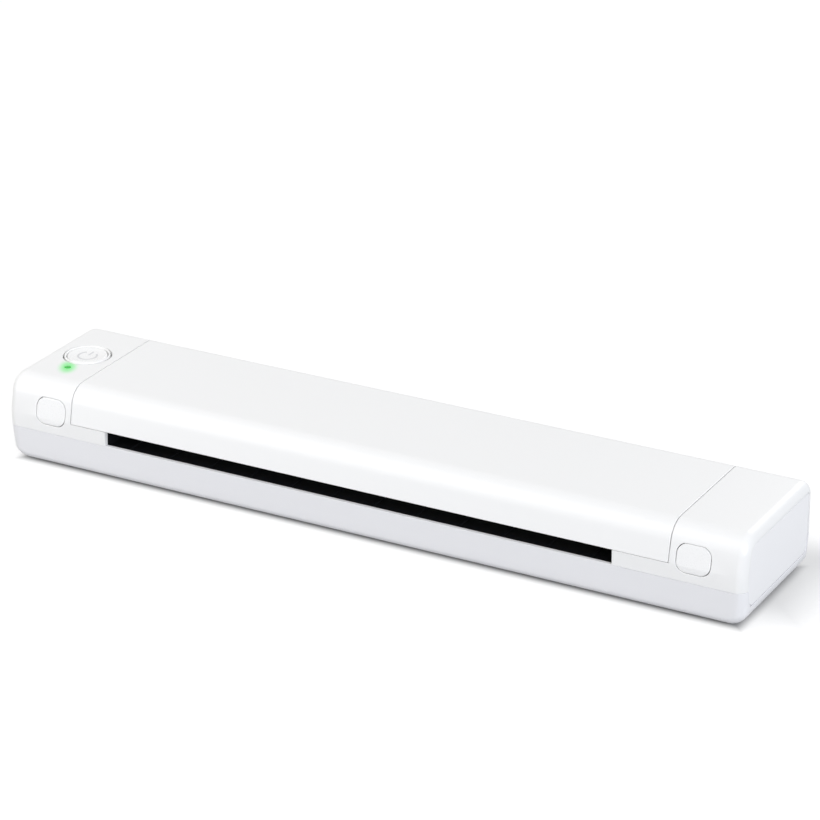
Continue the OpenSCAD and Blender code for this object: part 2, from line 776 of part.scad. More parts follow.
module idler_gear() {
    small_turn = to_idler + 180 + 180 / idler_small_teeth;
    color("#e8e6dc") difference() {
        union() {
            gear_at(gear_x0 + 0.2, large_x0 + 0.1, idler_y, idler_z, idler_small_teeth, small_turn);
            gear_at(large_x0, large_x0 + large_face, idler_y, idler_z, idler_large_teeth, to_motor);
        }
        rod_x(gear_x0 - over, plate_x, idler_y, idler_z, axle_d / 2 + 0.04);
    }
}

module idler_axle() {
    color("#b9bcc0") rod_x(bearing_right + bearing_t, plate_x + plate_t, idler_y, idler_z, axle_d / 2);
}

module motor_pinion() {
    pinion_turn = to_motor + 180 + 180 / pinion_teeth;
    color("#c79a4b") difference() {
        gear_at(large_x0 - 0.2, large_x0 + large_face + 0.2, motor_y, motor_z, pinion_teeth, pinion_turn);
        rod_x(large_x0 - over, plate_x, motor_y, motor_z, 0.76);
    }
}

module motor_shaft() {
    color("#b9bcc0") rod_x(large_x0 - 0.4, plate_x + plate_t + 1.6, motor_y, motor_z, 0.75);
}

// Motor can with its mounting ears and front boss
module stepper_motor() {
    x0 = plate_x + plate_t;
    color("#a7aaae") difference() {
        union() {
            rod_x(x0 + 0.8, x0 + motor_l, motor_y, motor_z, motor_d / 2);
            hull() for (side = [-1, 1])
                rod_x(x0, x0 + 0.8, motor_y + side * motor_ear, motor_z, 2.4);
            rod_x(x0 - plate_t + 0.2, x0 + 0.4, motor_y, motor_z, 2.4);
            rod_x(x0 + motor_l - 0.02, x0 + motor_l + 0.8, motor_y, motor_z, 2);
        }
        for (side = [-1, 1])
            rod_x(x0 - over, x0 + 0.8 + over / 10, motor_y + side * motor_ear, motor_z, shank_r + 0.1);
        rod_x(x0 - 2, x0 + 2.2, motor_y, motor_z, 0.85);
    }
}

motor_ear = motor_d / 2 + 2.7;

// Bent steel plate between the gears and the motor
module gear_plate() {
    color("#c4c7cb") difference() {
        union() {
            block(plate_x, plate_x + plate_t, platen_y - 5, motor_y + motor_ear + 2.4, plate_foot_z,
                platen_z + 7);
            for (p = plate_screws_at)
                block(plate_x, plate_x + 7, p[1] - 2.6, p[1] + 2.6, plate_foot_z, plate_foot_z + plate_t);
        }
        for (p = plate_screws_at)
            post(p[0], p[1], plate_foot_z - over, plate_foot_z + plate_t + over, shank_r + 0.1);
        rod_x(plate_x - over, plate_x + plate_t + over, idler_y, idler_z, axle_d / 2 + 0.01);
        rod_x(plate_x - over, plate_x + plate_t + over, motor_y, motor_z, 2.45);
        for (side = [-1, 1])
            rod_x(plate_x - over, plate_x + plate_t + over, motor_y + side * motor_ear, motor_z,
                thread_r + 0.35);
    }
}

module motor_screws() {
    x = plate_x + plate_t + 0.8;
    color("#5c5f63") {
        for (side = [-1, 1]) {
            rod_x(plate_x + 0.1, x, motor_y + side * motor_ear, motor_z, shank_r - 0.03);
            rod_x(x, x + 1.1, motor_y + side * motor_ear, motor_z, 2);
        }
        for (p = plate_screws_at) {
            post(p[0], p[1], floor_top - 0.2, plate_foot_z + plate_t, shank_r - 0.03);
            post(p[0], p[1], plate_foot_z + plate_t, plate_foot_z + plate_t + 1.1, 2);
        }
    }
}

// ---------- boards, battery, sensors ----------

module main_board() {
    color("#1f6b3a") difference() {
        block(main_board_x0, main_board_x1, main_board_y0, main_board_y1, main_board_z, main_board_z + board_t);
        for (p = board_screws_at)
            post(p[0], p[1], main_board_z - over, main_board_z + board_t + over, shank_r + 0.1);
    }
}

module board_chips() {
    z = main_board_z + board_t;
    mid = (main_board_y0 + main_board_y1) / 2;
    color("#26272a") {
        block(-20, -10, mid - 5, mid + 5, z, z + 1.4);
        block(-48, -41, mid - 3, mid + 3, z, z + 1.2);
        block(22, 30, mid - 3.5, mid + 3.5, z, z + 1.6);
        for (x = [-72, -64, 42]) post(x, mid, z, z + 4.2, 2.6);
        block(-92, -80, mid - 2.4, mid + 2.4, z, z + 2.8);
        block(2, 14, main_board_y1 - 4.4, main_board_y1 - 0.6, z, z + 2.2);
    }
}

module charge_board() {
    color("#1f6b3a") difference() {
        block(charge_x0, charge_x1, usb_y - 10, usb_y + 10, charge_top - board_t, charge_top);
        for (p = charge_screws_at) post(p[0], p[1], 0, charge_top + over, shank_r + 0.1);
    }
}

// Metal shell of the connector with its tongue
module usb_port() {
    x0 = -half_l + 0.5;
    shell_t = 0.3;
    depth = 7.3;
    color("#aeb1b5") translate([x0, usb_y, charge_top + usb_h / 2]) rotate([90, 0, 90]) {
        difference() {
            linear_extrude(depth) rounded(usb_w, usb_h, usb_h / 2 - 0.01);
            translate([0, 0, -over]) linear_extrude(depth - 0.6 + over)
                rounded(usb_w - 2 * shell_t, usb_h - 2 * shell_t, usb_h / 2 - shell_t - 0.01);
        }
        translate([-3.35, -0.35, 0.9]) cube([6.7, 0.7, depth - 1.2]);
    }
}

// Two flat cells side by side with the protection strip between them
module battery_pack() {
    mid = (battery_x0 + battery_x1) / 2;
    z0 = floor_top + 0.2;
    deep = battery_y1 - battery_y0;
    color("#3c5f9a") for (span = [[battery_x0, mid - 1.5], [mid + 1.5, battery_x1]])
        along_x(span[0], span[1]) translate([(battery_y0 + battery_y1) / 2, z0 + battery_h / 2])
            rounded(deep, battery_h, 2.5);
    color("#c8b45a") block(mid - 1.5, mid + 1.5, battery_y0 + 2, battery_y1 - 2, z0 + 2, z0 + battery_h - 2);
}

module button_board() {
    color("#1f6b3a") difference() {
        block(-power_x - 9.6, -power_x + 9.4, power_y - 17, power_y + 15.8, button_board_top - board_t,
            button_board_top);
        for (b = button_bosses)
            post(-power_x + b[0], power_y + b[1], button_board_top - board_t - over, button_board_top + over,
                shank_r + 0.1);
    }
}

// Push switch under the power button, and the lamp under the lens
module power_switch() {
    color("#303236") {
        block(-power_x - 3, -power_x + 3, power_y - 3, power_y + 3, button_board_top,
            button_board_top + switch_h);
        post(-power_x, power_y, button_board_top + switch_h - 0.02, plunger_top, 1.7);
        block(-power_x - 1, -power_x + 1, lens_y - 0.8, lens_y + 0.8, button_board_top, button_board_top + 0.8);
    }
}

module paper_sensor() {
    color("#202124") block(sensor_x - sensor_w / 2, sensor_x + sensor_w / 2, sensor_y - sensor_d / 2,
        sensor_y + sensor_d / 2, deck_top - 0.1 - sensor_h, deck_top - 0.1);
}

module cover_switch() {
    z = deck_top;
    color("#202124") {
        block(cover_switch_x - 3, cover_switch_x + 3, cover_switch_y - 4, cover_switch_y + 4, z, z + 3.4);
        block(cover_switch_x - 1, cover_switch_x + 1, cover_switch_y - 1, cover_switch_y + 1, z + 3.38,
            shelf_under - 0.1);
    }
}

// ---------- power button and lamp ----------

module power_ring() {
    color("#f0f0ee") translate([-power_x, power_y, 0]) rotate_extrude() polygon([
        [power_d / 2 + cap_gap, top_under - 1.2], [ring_shoulder_d / 2, top_under - 1.2],
        [ring_shoulder_d / 2, top_under], [power_ring_d / 2, top_under],
        [power_ring_d / 2, body_h + power_proud - 0.3], [power_ring_d / 2 - 0.3, body_h + power_proud],
        [power_d / 2 + cap_gap + 0.3, body_h + power_proud], [power_d / 2 + cap_gap, body_h + power_proud - 0.3]
    ]);
}

module power_button_cap() {
    top = body_h + cap_proud;
    color("#f4f4f2") translate([-power_x, power_y, 0]) rotate_extrude() polygon([
        [0, plunger_top + power_travel + 0.05], [2, plunger_top + power_travel + 0.05], [2, top - cap_t],
        [power_d / 2, top - cap_t], [power_d / 2, top - 0.4], [power_d / 2 - 0.4, top], [0, top]
    ]);
}

module status_lens() {
    color("#35c24b") post(-power_x, lens_y, button_board_top + 1, body_h + 0.1, lens_d / 2);
}

// ---------- release buttons and latches ----------

// The cap is the piece of the case's own skin that its opening cuts out
module release_button() {
    socket_r = 1.6;
    difference() {
        intersection() {
            along_x(release_x - release_w, release_x + release_w) polygon(outline(0, 0));
            along_y(-half_d - over, slider_front) release_outline(0);
        }
        along_y(slider_front - 2.2, slider_front + over) translate([release_x, release_z]) circle(socket_r);
    }
}

module latch_slider(edge) {
    x0 = release_x - release_w / 2 + 0.8;
    x1 = release_x + release_w / 2 - 0.8;
    tip = catch_x(edge) - catch_w / 2;
    core_z = rail_top - 0.3;
    difference() {
        union() {
            block(x0, x1, slider_front, slider_rear, bar_top - bar_t, core_z);
            block(tip, x0 + over, bar_y, bar_y + 3.4, bar_top - bar_t, bar_top);
            along_y(slider_front - 1.9, slider_front + over) translate([release_x, release_z]) circle(1.5);
        }
        // Core cut away so that it weighs less, open to the back below the spring seat
        block(x0 + 1.6, x1 - 1.6, bar_y + 5, slider_rear + over, bar_top - bar_t - over, bar_top + 0.5);
    }
}

module left_release_button() {
    color("#f7f7f5") mirror([1, 0, 0]) release_button();
}

module right_release_button() {
    color("#f7f7f5") release_button();
}

module left_latch_slider() {
    color("#2a2b2e") mirror([1, 0, 0]) latch_slider(slot_left);
}

module right_latch_slider() {
    color("#2a2b2e") latch_slider(slot_right);
}

module latch_spring() {
    z = (bar_top + rail_top) / 2 + 0.3;
    translate([release_x, stop_y - 0.02, z]) rotate([90, 0, 0])
        coil(latch_spring_r, spring_wire, latch_spring_l - 0.04, 5);
}

module left_latch_spring() {
    color("#9a9da1") mirror([1, 0, 0]) latch_spring();
}

module right_latch_spring() {
    color("#9a9da1") latch_spring();
}

// ---------- cover ----------

module cover_shell() {
    rib_z = web_top + 0.3;
    color("#f5f5f3") difference() {
        union() {
            difference() {
                along_x(-half_cover, half_cover) polygon(outline(0, 0));
                along_x(-half_cover + wall, half_cover - wall) polygon(outline(wall, wall));
                block(-half_l, half_l, -half_d - over, hinge_y, 0, lip_z);
                difference() {
                    block(-half_l, half_l, hinge_y - 0.01, half_d + over, 0, hinge_z);
                    rod_x(-half_l - over, half_l + over, hinge_y, hinge_z, rear_lip_r);
                }
            }
            // Hinge barrels in the rear corners
            left_and_right() intersection() {
                rod_x(half_cover - 6.6, half_cover, hinge_y, hinge_z, hinge_barrel_d / 2);
                along_x(0, half_cover) polygon(outline(0, 0));
            }
            // Bosses that take the inner frame's screws
            for (x = frame_screw_x, y = [frame_screw_front, frame_screw_rear])
                post(x, y, flange_top, top_under + 0.5, 2.6);
            // Ribs across the underside of the top, between the head's screws
            for (x = [head_screw_x[0] - 13, head_screw_x[0] + 26, head_screw_x[1] + 26, head_screw_x[2] + 26,
                    head_screw_x[3] + 13])
                block(x - cover_rib_t / 2, x + cover_rib_t / 2, -inner_y + 7, hinge_y - 5, rib_z,
                    top_under + 0.5);
        }
        left_and_right() rod_x(half_cover - 8, half_cover + over, hinge_y, hinge_z, hinge_pin_d / 2 + 0.05);
        for (x = frame_screw_x, y = [frame_screw_front, frame_screw_rear])
            post(x, y, flange_top - over, flange_top + 7, thread_r + 0.35);
    }
}

// Black moulding inside the cover: upper paper guide, with a pocket for the print head
module head_frame() {
    front = -inner_y + 0.5;
    rear = hinge_y - 4.2;
    nose = print_z + 1.3;
    hat = [
        [front, flange_z], [-pocket_y - 3.4, flange_z], [-pocket_y - 1.4, nose], [-pocket_y, nose],
        [-pocket_y, web_under], [pocket_y, web_under], [pocket_y, nose], [pocket_y + 1.4, nose],
        [pocket_y + 3.4, flange_z], [rear, flange_z], [rear, flange_top], [pocket_y + frame_t, flange_top],
        [pocket_y + frame_t, web_top], [-pocket_y - frame_t, web_top], [-pocket_y - frame_t, flange_top],
        [front, flange_top]
    ];
    color("#17181a") difference() {
        union() {
            along_x(frame_x0, frame_x1) polygon(hat);
            for (x = [frame_x0, frame_x1 - frame_t])
                block(x, x + frame_t, -pocket_y - 0.1, pocket_y + 0.1, flange_z - 1.4, web_under + 0.1);
            block(-half_cover + wall + 0.35, frame_x0 + 0.1, front, rear, flange_z, flange_top);
            block(frame_x1 - 0.1, half_cover - wall - 0.35, front, rear, flange_z, flange_top);
        }
        for (x = head_screw_x) post(x, 0, web_under - over, web_top + over, shank_r + 0.2);
        for (x = frame_screw_x, y = [frame_screw_front, frame_screw_rear]) {
            post(x, y, flange_z - over, flange_top + over, shank_r + 0.15);
            post(x, y, flange_z - over, flange_z + 1, head_r + 0.1);
        }
        for (p = catch_screws_at) post(p, catch_screw_y, flange_z - over, flange_top + over, shank_r + 0.1);
    }
}

catch_screws_at = [-catch_x(slot_left), catch_x(slot_right)];
catch_screw_y = catch_y + catch_t + 1.6;

// Hook that hangs from the inner frame into the window of the shelf
module catch_piece(edge) {
    x0 = catch_x(edge) - catch_w / 2;
    nose_end = catch_y + catch_t + nose_l;
    difference() {
        union() {
            block(x0, x0 + catch_w, catch_y - 1.6, catch_screw_y + 2.2, flange_z - 1.3, flange_z);
            along_x(x0, x0 + catch_w) polygon([
                [catch_y, flange_z - 0.1], [catch_y, nose_top - nose_t], [catch_y + catch_t, nose_top - nose_t],
                [nose_end, nose_top - 0.5], [nose_end, nose_top], [catch_y + catch_t, nose_top],
                [catch_y + catch_t, flange_z - 0.1]
            ]);
        }
        post(catch_x(edge), catch_screw_y, flange_z - 2, flange_z + over, thread_r + 0.35);
    }
}

module left_catch() {
    color("#c4c7cb") mirror([1, 0, 0]) catch_piece(slot_left);
}

module right_catch() {
    color("#c4c7cb") catch_piece(slot_right);
}

// Screws that hold the inner frame and the catches
module frame_screws() {
    color("#5c5f63") {
        for (x = frame_screw_x, y = [frame_screw_front, frame_screw_rear]) {
            post(x, y, flange_z + 0.9, flange_top + 6, shank_r);
            post(x, y, flange_z + 0.1, flange_z + 1, head_r);
        }
        for (p = catch_screws_at) {
            post(p, catch_screw_y, flange_z - 1.2, flange_top + 0.1, shank_r);
            post(p, catch_screw_y, flange_top, flange_top + 1.1, 2);
        }
    }
}

module hinge_pins() {
    pin_x = half_cover - 6.2;
    color("#b9bcc0") left_and_right()
        rod_x(pin_x, pin_x + hinge_pin_l, hinge_y, hinge_z, hinge_pin_d / 2);
}

// ---------- print head ----------

module head_ceramic() {
    color("#d9dcd6") block(head_x0, head_x1, -sink_d / 2 + 0.2, 2.2, ceramic_z, sink_z);
}

module head_driver_cover() {
    low = ceramic_z - 0.75;
    color("#1b1c1f") along_x(head_x0 + 3, head_x1 - 3) polygon([
        [2.6, low + 0.5], [3.2, low], [sink_d / 2 - 0.9, low], [sink_d / 2 - 0.3, low + 0.5],
        [sink_d / 2 - 0.3, sink_z], [2.6, sink_z]
    ]);
}

// Extruded aluminium bar with grooves along its top
module head_heatsink() {
    groove_w = 1.4;
    color("#b4b7bb") difference() {
        block(head_x0, head_x1, -sink_d / 2, sink_d / 2, sink_z, sink_top);
        for (y = [-6.2, -3.9, 3.9, 6.2])
            block(head_x0 - over, head_x1 + over, y - groove_w / 2, y + groove_w / 2, sink_top - 1.2,
                sink_top + over);
        for (x = head_screw_x) post(x, 0, sink_top - 2.6, sink_top + over, shank_r + 0.03);
    }
}

// Shoulder screws that guide the head, with a spring round each
module head_screws() {
    color("#5c5f63") for (x = head_screw_x) screw(x, 0, sink_top - 2.5, web_top + screw_head_t);
}

module head_springs() {
    color("#9a9da1") for (x = head_screw_x) translate([x, 0, sink_top + 0.02])
        coil(head_spring_r, spring_wire, web_under - sink_top - 0.04, 4);
}

// ---------- screws and feet ----------

module case_screws() {
    color("#5c5f63") left_and_right() for (y = [case_screw_front, case_screw_rear]) {
        post(case_screw_x, y, counterbore_top - 0.02, parting_z + 8, shank_r);
        difference() {
            post(case_screw_x, y, counterbore_top - 1.8, counterbore_top, head_r + 0.2);
            post(case_screw_x, y, counterbore_top - 2, counterbore_top - 1, 1);
        }
    }
}

module deck_screws() {
    color("#5c5f63") for (p = deck_screws_at) {
        post(p[0], p[1], deck_under - 7, deck_top + 0.02, shank_r);
        post(p[0], p[1], deck_top, deck_top + 1.1, 2.2);
    }
}

module board_screws() {
    color("#5c5f63") {
        for (p = board_screws_at) {
            post(p[0], p[1], floor_top - 0.2, main_board_z + board_t + 0.02, shank_r);
            post(p[0], p[1], main_board_z + board_t, main_board_z + board_t + 1.1, 2);
        }
        for (p = charge_screws_at) {
            post(p[0], p[1], floor_top + 1, charge_top + 0.02, shank_r);
            post(p[0], p[1], charge_top, charge_top + 1.1, 2);
        }
        for (b = button_bosses) {
            post(-power_x + b[0], power_y + b[1], button_board_top - board_t - 0.02, button_board_top + 2.6,
                shank_r);
            post(-power_x + b[0], power_y + b[1], button_board_top - board_t - 1.1,
                button_board_top - board_t, 2);
        }
    }
}

module rubber_feet() {
    color("#2c2d30") left_and_right() for (y = [-foot_y, foot_y])
        translate([foot_x, y, 0]) rotate_extrude() polygon([
            [0, 0], [foot_d / 2 - 0.5, 0], [foot_d / 2, 0.5], [foot_d / 2, foot_h + 0.8], [0, foot_h + 0.8]
        ]);
}

lower_shell();
left_end_housing();
right_end_housing();
left_side_panel();
right_side_panel();
paper_deck();
left_bush();
right_bush();
gear_plate();
idler_axle();
stepper_motor();
main_board();
board_chips();
charge_board();
usb_port();
battery_pack();
button_board();
power_switch();
power_ring();
status_lens();
paper_sensor();
cover_switch();
hinge_pins();
case_screws();
deck_screws();
board_screws();
motor_screws();
rubber_feet();
left_latch_spring();
right_latch_spring();
cover_shell();
head_frame();
left_catch();
right_catch();
frame_screws();
head_springs();
head_ceramic();
head_heatsink();
head_driver_cover();
head_screws();
platen_shaft();
platen_rubber();
platen_gear();
shaft_clip();
idler_gear();
motor_pinion();
motor_shaft();
left_release_button();
left_latch_slider();
right_release_button();
right_latch_slider();
power_button_cap();
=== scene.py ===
import math

import bmesh
import bpy
from mathutils import Matrix, Vector


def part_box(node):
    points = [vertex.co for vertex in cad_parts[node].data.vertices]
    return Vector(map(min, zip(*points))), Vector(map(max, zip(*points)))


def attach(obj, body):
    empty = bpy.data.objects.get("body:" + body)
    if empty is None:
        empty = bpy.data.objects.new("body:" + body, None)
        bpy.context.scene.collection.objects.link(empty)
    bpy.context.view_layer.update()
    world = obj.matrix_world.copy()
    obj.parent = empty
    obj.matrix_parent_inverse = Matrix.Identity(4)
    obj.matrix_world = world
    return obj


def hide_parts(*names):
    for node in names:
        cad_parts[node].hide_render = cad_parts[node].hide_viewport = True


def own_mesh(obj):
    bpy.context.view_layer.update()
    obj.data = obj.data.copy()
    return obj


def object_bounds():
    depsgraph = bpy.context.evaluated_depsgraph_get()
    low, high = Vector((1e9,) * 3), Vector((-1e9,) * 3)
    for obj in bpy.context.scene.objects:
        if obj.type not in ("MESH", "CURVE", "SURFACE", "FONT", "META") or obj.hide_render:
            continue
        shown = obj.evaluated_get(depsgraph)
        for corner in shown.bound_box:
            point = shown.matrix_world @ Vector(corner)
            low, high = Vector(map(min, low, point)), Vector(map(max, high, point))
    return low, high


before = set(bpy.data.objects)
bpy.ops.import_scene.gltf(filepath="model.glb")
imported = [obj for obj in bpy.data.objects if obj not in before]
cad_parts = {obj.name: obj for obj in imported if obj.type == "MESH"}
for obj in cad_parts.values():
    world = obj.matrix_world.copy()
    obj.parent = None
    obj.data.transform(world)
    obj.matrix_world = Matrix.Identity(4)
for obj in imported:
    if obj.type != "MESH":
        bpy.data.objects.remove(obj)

cad_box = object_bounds()

# ---------- The photograph's view ----------
# A long lens from the right of the front and above, rolled a little to the left. Its place, turn
# and length were fitted to the edges in the photograph, with the object in its real size.
eye_place = Vector((0.55687, -0.97680, 0.53982))
back = Vector((0.44918, -0.79627, 0.40520)).normalized()
aside = (-back).cross(Vector((0, 0, 1))).normalized()
upright = aside.cross(-back).normalized()
roll = math.radians(-0.6157)
right_edge = aside * math.cos(roll) + upright * math.sin(roll)
top_edge = upright * math.cos(roll) - aside * math.sin(roll)
eye = bpy.data.objects.new("eye", bpy.data.cameras.new("eye"))
bpy.context.scene.collection.objects.link(eye)
eye.matrix_world = Matrix.Translation(eye_place) @ Matrix(
    (right_edge, top_edge, back)).transposed().to_4x4()
eye.data.sensor_width = 36
eye.data.lens = 144.11
eye.data.shift_x = 0.00213
eye.data.shift_y = 0.00018
eye.data.clip_start = 0.02
bpy.context.scene.camera = eye
bpy.context.scene.view_settings.view_transform = "Standard"


# ---------- Table and light ----------
# A white table top in a white room, under soft boxes as in a plain product picture. The lamps and
# the dim walls light the object. The full white round it is only for the eye and reflections.
def linear(code):
    """The colour that a shader needs, from its sRGB hex value."""
    parts = [int(code[i:i + 2], 16) / 255 for i in (1, 3, 5)]
    return [c / 12.92 if c <= 0.04045 else ((c + 0.055) / 1.055) ** 2.4 for c in parts] + [1]


def add(tree, kind, links=None, **settings):
    """Adds one node, sets its sockets and properties, and links its inputs."""
    node = tree.nodes.new(kind)
    for name, value in settings.items():
        socket = node.inputs.get(name.replace("_", " "))
        if socket is not None:
            socket.default_value = value
        else:
            setattr(node, name, value)
    for name, source in (links or {}).items():
        tree.links.new(source, node.inputs[name])
    return node


def looked_at(tree):
    """1 for what the eye sees, also in a reflection or through a lens, and 0 for what lights."""
    ray = add(tree, "ShaderNodeLightPath")
    mirrored = add(tree, "ShaderNodeMath", {0: ray.outputs["Is Camera Ray"],
                                            1: ray.outputs["Is Glossy Ray"]}, operation="MAXIMUM")
    return add(tree, "ShaderNodeMath", {0: mirrored.outputs["Value"],
                                        1: ray.outputs["Is Transmission Ray"]},
               operation="MAXIMUM").outputs["Value"]


table = bmesh.new()
bmesh.ops.create_grid(table, x_segments=1, y_segments=1, size=6)
mesh = bpy.data.meshes.new("table_top")
table.to_mesh(mesh)
table.free()
table_top = bpy.data.objects.new("table_top", mesh)
bpy.context.scene.collection.objects.link(table_top)
white_table = bpy.data.materials.new("white_table")
white_table.use_nodes = True
tree = white_table.node_tree
tree.nodes.clear()
matte = add(tree, "ShaderNodeBsdfDiffuse", Color=linear("#A9A9A9"))
# The brightness that only the eye sees ends at the object's foot, which paints a dark contact
# shadow along its edge, and is less to its right and behind it, which paints a soft shadow there.
# Each row
# is a dimmed oblong: its middle, half its size, how far from its outline the dimming starts and
# ends, and the share of light that it leaves
seen_strength = 0.68
painted_contact_shadow = (0, 0, 0), (cad_box[1][0], cad_box[1][1], 1), -0.006, 0.0005, 0.0
painted_soft_shadow = (0.0145, 0.017, 0), (0.1535, 0.0294, 1), -0.012, 0.012, 0.62
spot = add(tree, "ShaderNodeTexCoord")
shares = []
for middle, half, start, end, least in (painted_contact_shadow, painted_soft_shadow):
    shifted = add(tree, "ShaderNodeVectorMath", {0: spot.outputs["Object"]}, operation="SUBTRACT")
    shifted.inputs[1].default_value = middle
    near = add(tree, "ShaderNodeVectorMath", {0: shifted.outputs["Vector"]}, operation="ABSOLUTE")
    beyond = add(tree, "ShaderNodeVectorMath", {0: near.outputs["Vector"]}, operation="SUBTRACT")
    beyond.inputs[1].default_value = half
    edges = add(tree, "ShaderNodeSeparateXYZ", {"Vector": beyond.outputs["Vector"]})
    reach = add(tree, "ShaderNodeMath", {0: edges.outputs["X"], 1: edges.outputs["Y"]},
                operation="MAXIMUM")
    fade = add(tree, "ShaderNodeMapRange", {"Value": reach.outputs["Value"]},
               interpolation_type="SMOOTHSTEP", From_Min=start, From_Max=end, To_Min=least)
    shares.append(fade.outputs["Result"])
share = add(tree, "ShaderNodeMath", {0: shares[0], 1: shares[1]}, operation="MULTIPLY")
strength = add(tree, "ShaderNodeMath", {0: share.outputs["Value"]}, operation="MULTIPLY")
strength.inputs[1].default_value = seen_strength
eyes_only = add(tree, "ShaderNodeMath", {0: looked_at(tree), 1: strength.outputs["Value"]},
                operation="MULTIPLY")
glow = add(tree, "ShaderNodeEmission", {"Strength": eyes_only.outputs["Value"]}, Color=(1, 1, 1, 1))
both = add(tree, "ShaderNodeAddShader", {0: matte.outputs[0], 1: glow.outputs[0]})
add(tree, "ShaderNodeOutputMaterial", {"Surface": both.outputs[0]})
mesh.materials.append(white_table)

room = bpy.data.worlds.new("white_room")
bpy.context.scene.world = room
room.use_nodes = True
tree = room.node_tree
tree.nodes.clear()
walls = add(tree, "ShaderNodeBackground", Color=(0.94, 0.96, 1.0, 1), Strength=0.46)
backdrop = add(tree, "ShaderNodeBackground", Color=(1, 1, 1, 1), Strength=1.0)
pick = add(tree, "ShaderNodeMixShader",
           {0: looked_at(tree), 1: walls.outputs[0], 2: backdrop.outputs[0]})
add(tree, "ShaderNodeOutputWorld", {"Surface": pick.outputs[0]})

for name, place, size, watts, tone in (
        ("soft_box_above", (-0.75, -0.70, 1.00), 0.9, 6.8, "#FFFAF3"),
        ("soft_box_left", (-0.60, -0.60, 0.24), 0.35, 0.90, "#F8FAFF"),
        ("soft_box_right", (2.20, -1.50, 1.10), 1.4, 51.5, "#F6F9FF"),
        ("soft_box_behind", (0.10, 1.30, 0.80), 0.8, 5.0, "#FFFFFF")):
    lamp = bpy.data.objects.new(name, bpy.data.lights.new(name, "AREA"))
    bpy.context.scene.collection.objects.link(lamp)
    lamp.data.size = size
    lamp.data.energy = watts
    lamp.data.color = linear(tone)[:3]
    lamp.location = place
    lamp.rotation_euler = (-Vector(place)).to_track_quat("-Z", "Y").to_euler()


# ---------- Lower shell ----------
# White ABS tray that everything stands in. Injection moulded in a spark eroded mould, which gives
# its outside a fine satin grain. A shallow groove runs along its joint with the end housings.
# Corners of the frame's loose triangles are one within merge_within metres
merge_within, same_place = 2e-6, 1e-6


def room_beside(edge):
    """How far the faces beside an edge reach from its middle, straight away from it."""
    least = math.inf
    for loop in edge.link_loops:
        start, end = loop.vert.co, loop.link_loop_next.vert.co
        along = (end - start).normalized()
        inwards = loop.face.normal.cross(along)
        middle = (start + end) / 2
        corners = [((v.co - middle).dot(along), (v.co - middle).dot(inwards))
                   for v in loop.face.verts]
        for (x0, y0), (x1, y1) in zip(corners, corners[1:] + corners[:1]):
            if x0 * x1 < 0:
                crossing = y0 - x0 * (y1 - y0) / (x1 - x0)
                if crossing > same_place:
                    least = min(least, crossing)
    return least


def recast(node, edge_mm, crease=28):
    """A merged copy of a solid from the frame, with its sharp edges broken by edge_mm.

    Edges without room stay sharp. So do those beside which the first try folds over itself.
    """
    width = edge_mm / 1000
    flat, folded = math.radians(0.4), math.radians(130)
    crowded = []
    for last_try in (False, True):
        shape = bmesh.new()
        shape.from_mesh(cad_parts[node].data)
        bmesh.ops.remove_doubles(shape, verts=shape.verts, dist=merge_within)
        bmesh.ops.dissolve_limit(shape, angle_limit=flat, verts=shape.verts, edges=shape.edges)
        sharp = [e for e in shape.edges
                 if e.is_manifold and e.calc_face_angle(0) > math.radians(crease)
                 and room_beside(e) > 1.2 * width
                 and all((v.co - spot).length > 3 * width for v in e.verts for spot in crowded)]
        if edge_mm:
            bmesh.ops.bevel(shape, geom=sharp, offset=width, offset_type="OFFSET", segments=2,
                            profile=0.5, affect="EDGES", clamp_overlap=False, material=-1)
        crowded = [(e.verts[0].co + e.verts[1].co) / 2 for e in shape.edges
                   if e.is_manifold and e.calc_length() > same_place
                   and e.calc_face_angle(0) > folded]
        if last_try or not crowded:
            return shape
        shape.free()


def finish(shape, name, material, body, replaces=(), crease=28):
    """Makes the shape a piece: smooth over its soft edges, in its finish, riding on its body."""
    for face in shape.faces:
        face.smooth = True
    for edge in shape.edges:
        edge.smooth = not edge.is_manifold or edge.calc_face_angle(0) < math.radians(crease)
    mesh = bpy.data.meshes.new(name)
    shape.to_mesh(mesh)
    shape.free()
    mesh.materials.append(material)
    piece = bpy.data.objects.new(name, mesh)
    bpy.context.scene.collection.objects.link(piece)
    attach(piece, body)
    for node in replaces:
        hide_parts(node)
    # Flat faces stay flat beside narrow roundings: their area decides the shading
    piece.modifiers.new("even_shading", "WEIGHTED_NORMAL").keep_sharp = True
    return piece


def new_material(name):
    """A material, its node tree, its one shader, and the place on the object for its patterns."""
    material = bpy.data.materials.new(name)
    material.use_nodes = True
    tree = material.node_tree
    place = add(tree, "ShaderNodeTexCoord").outputs["Object"]
    return material, tree, tree.nodes["Principled BSDF"], place


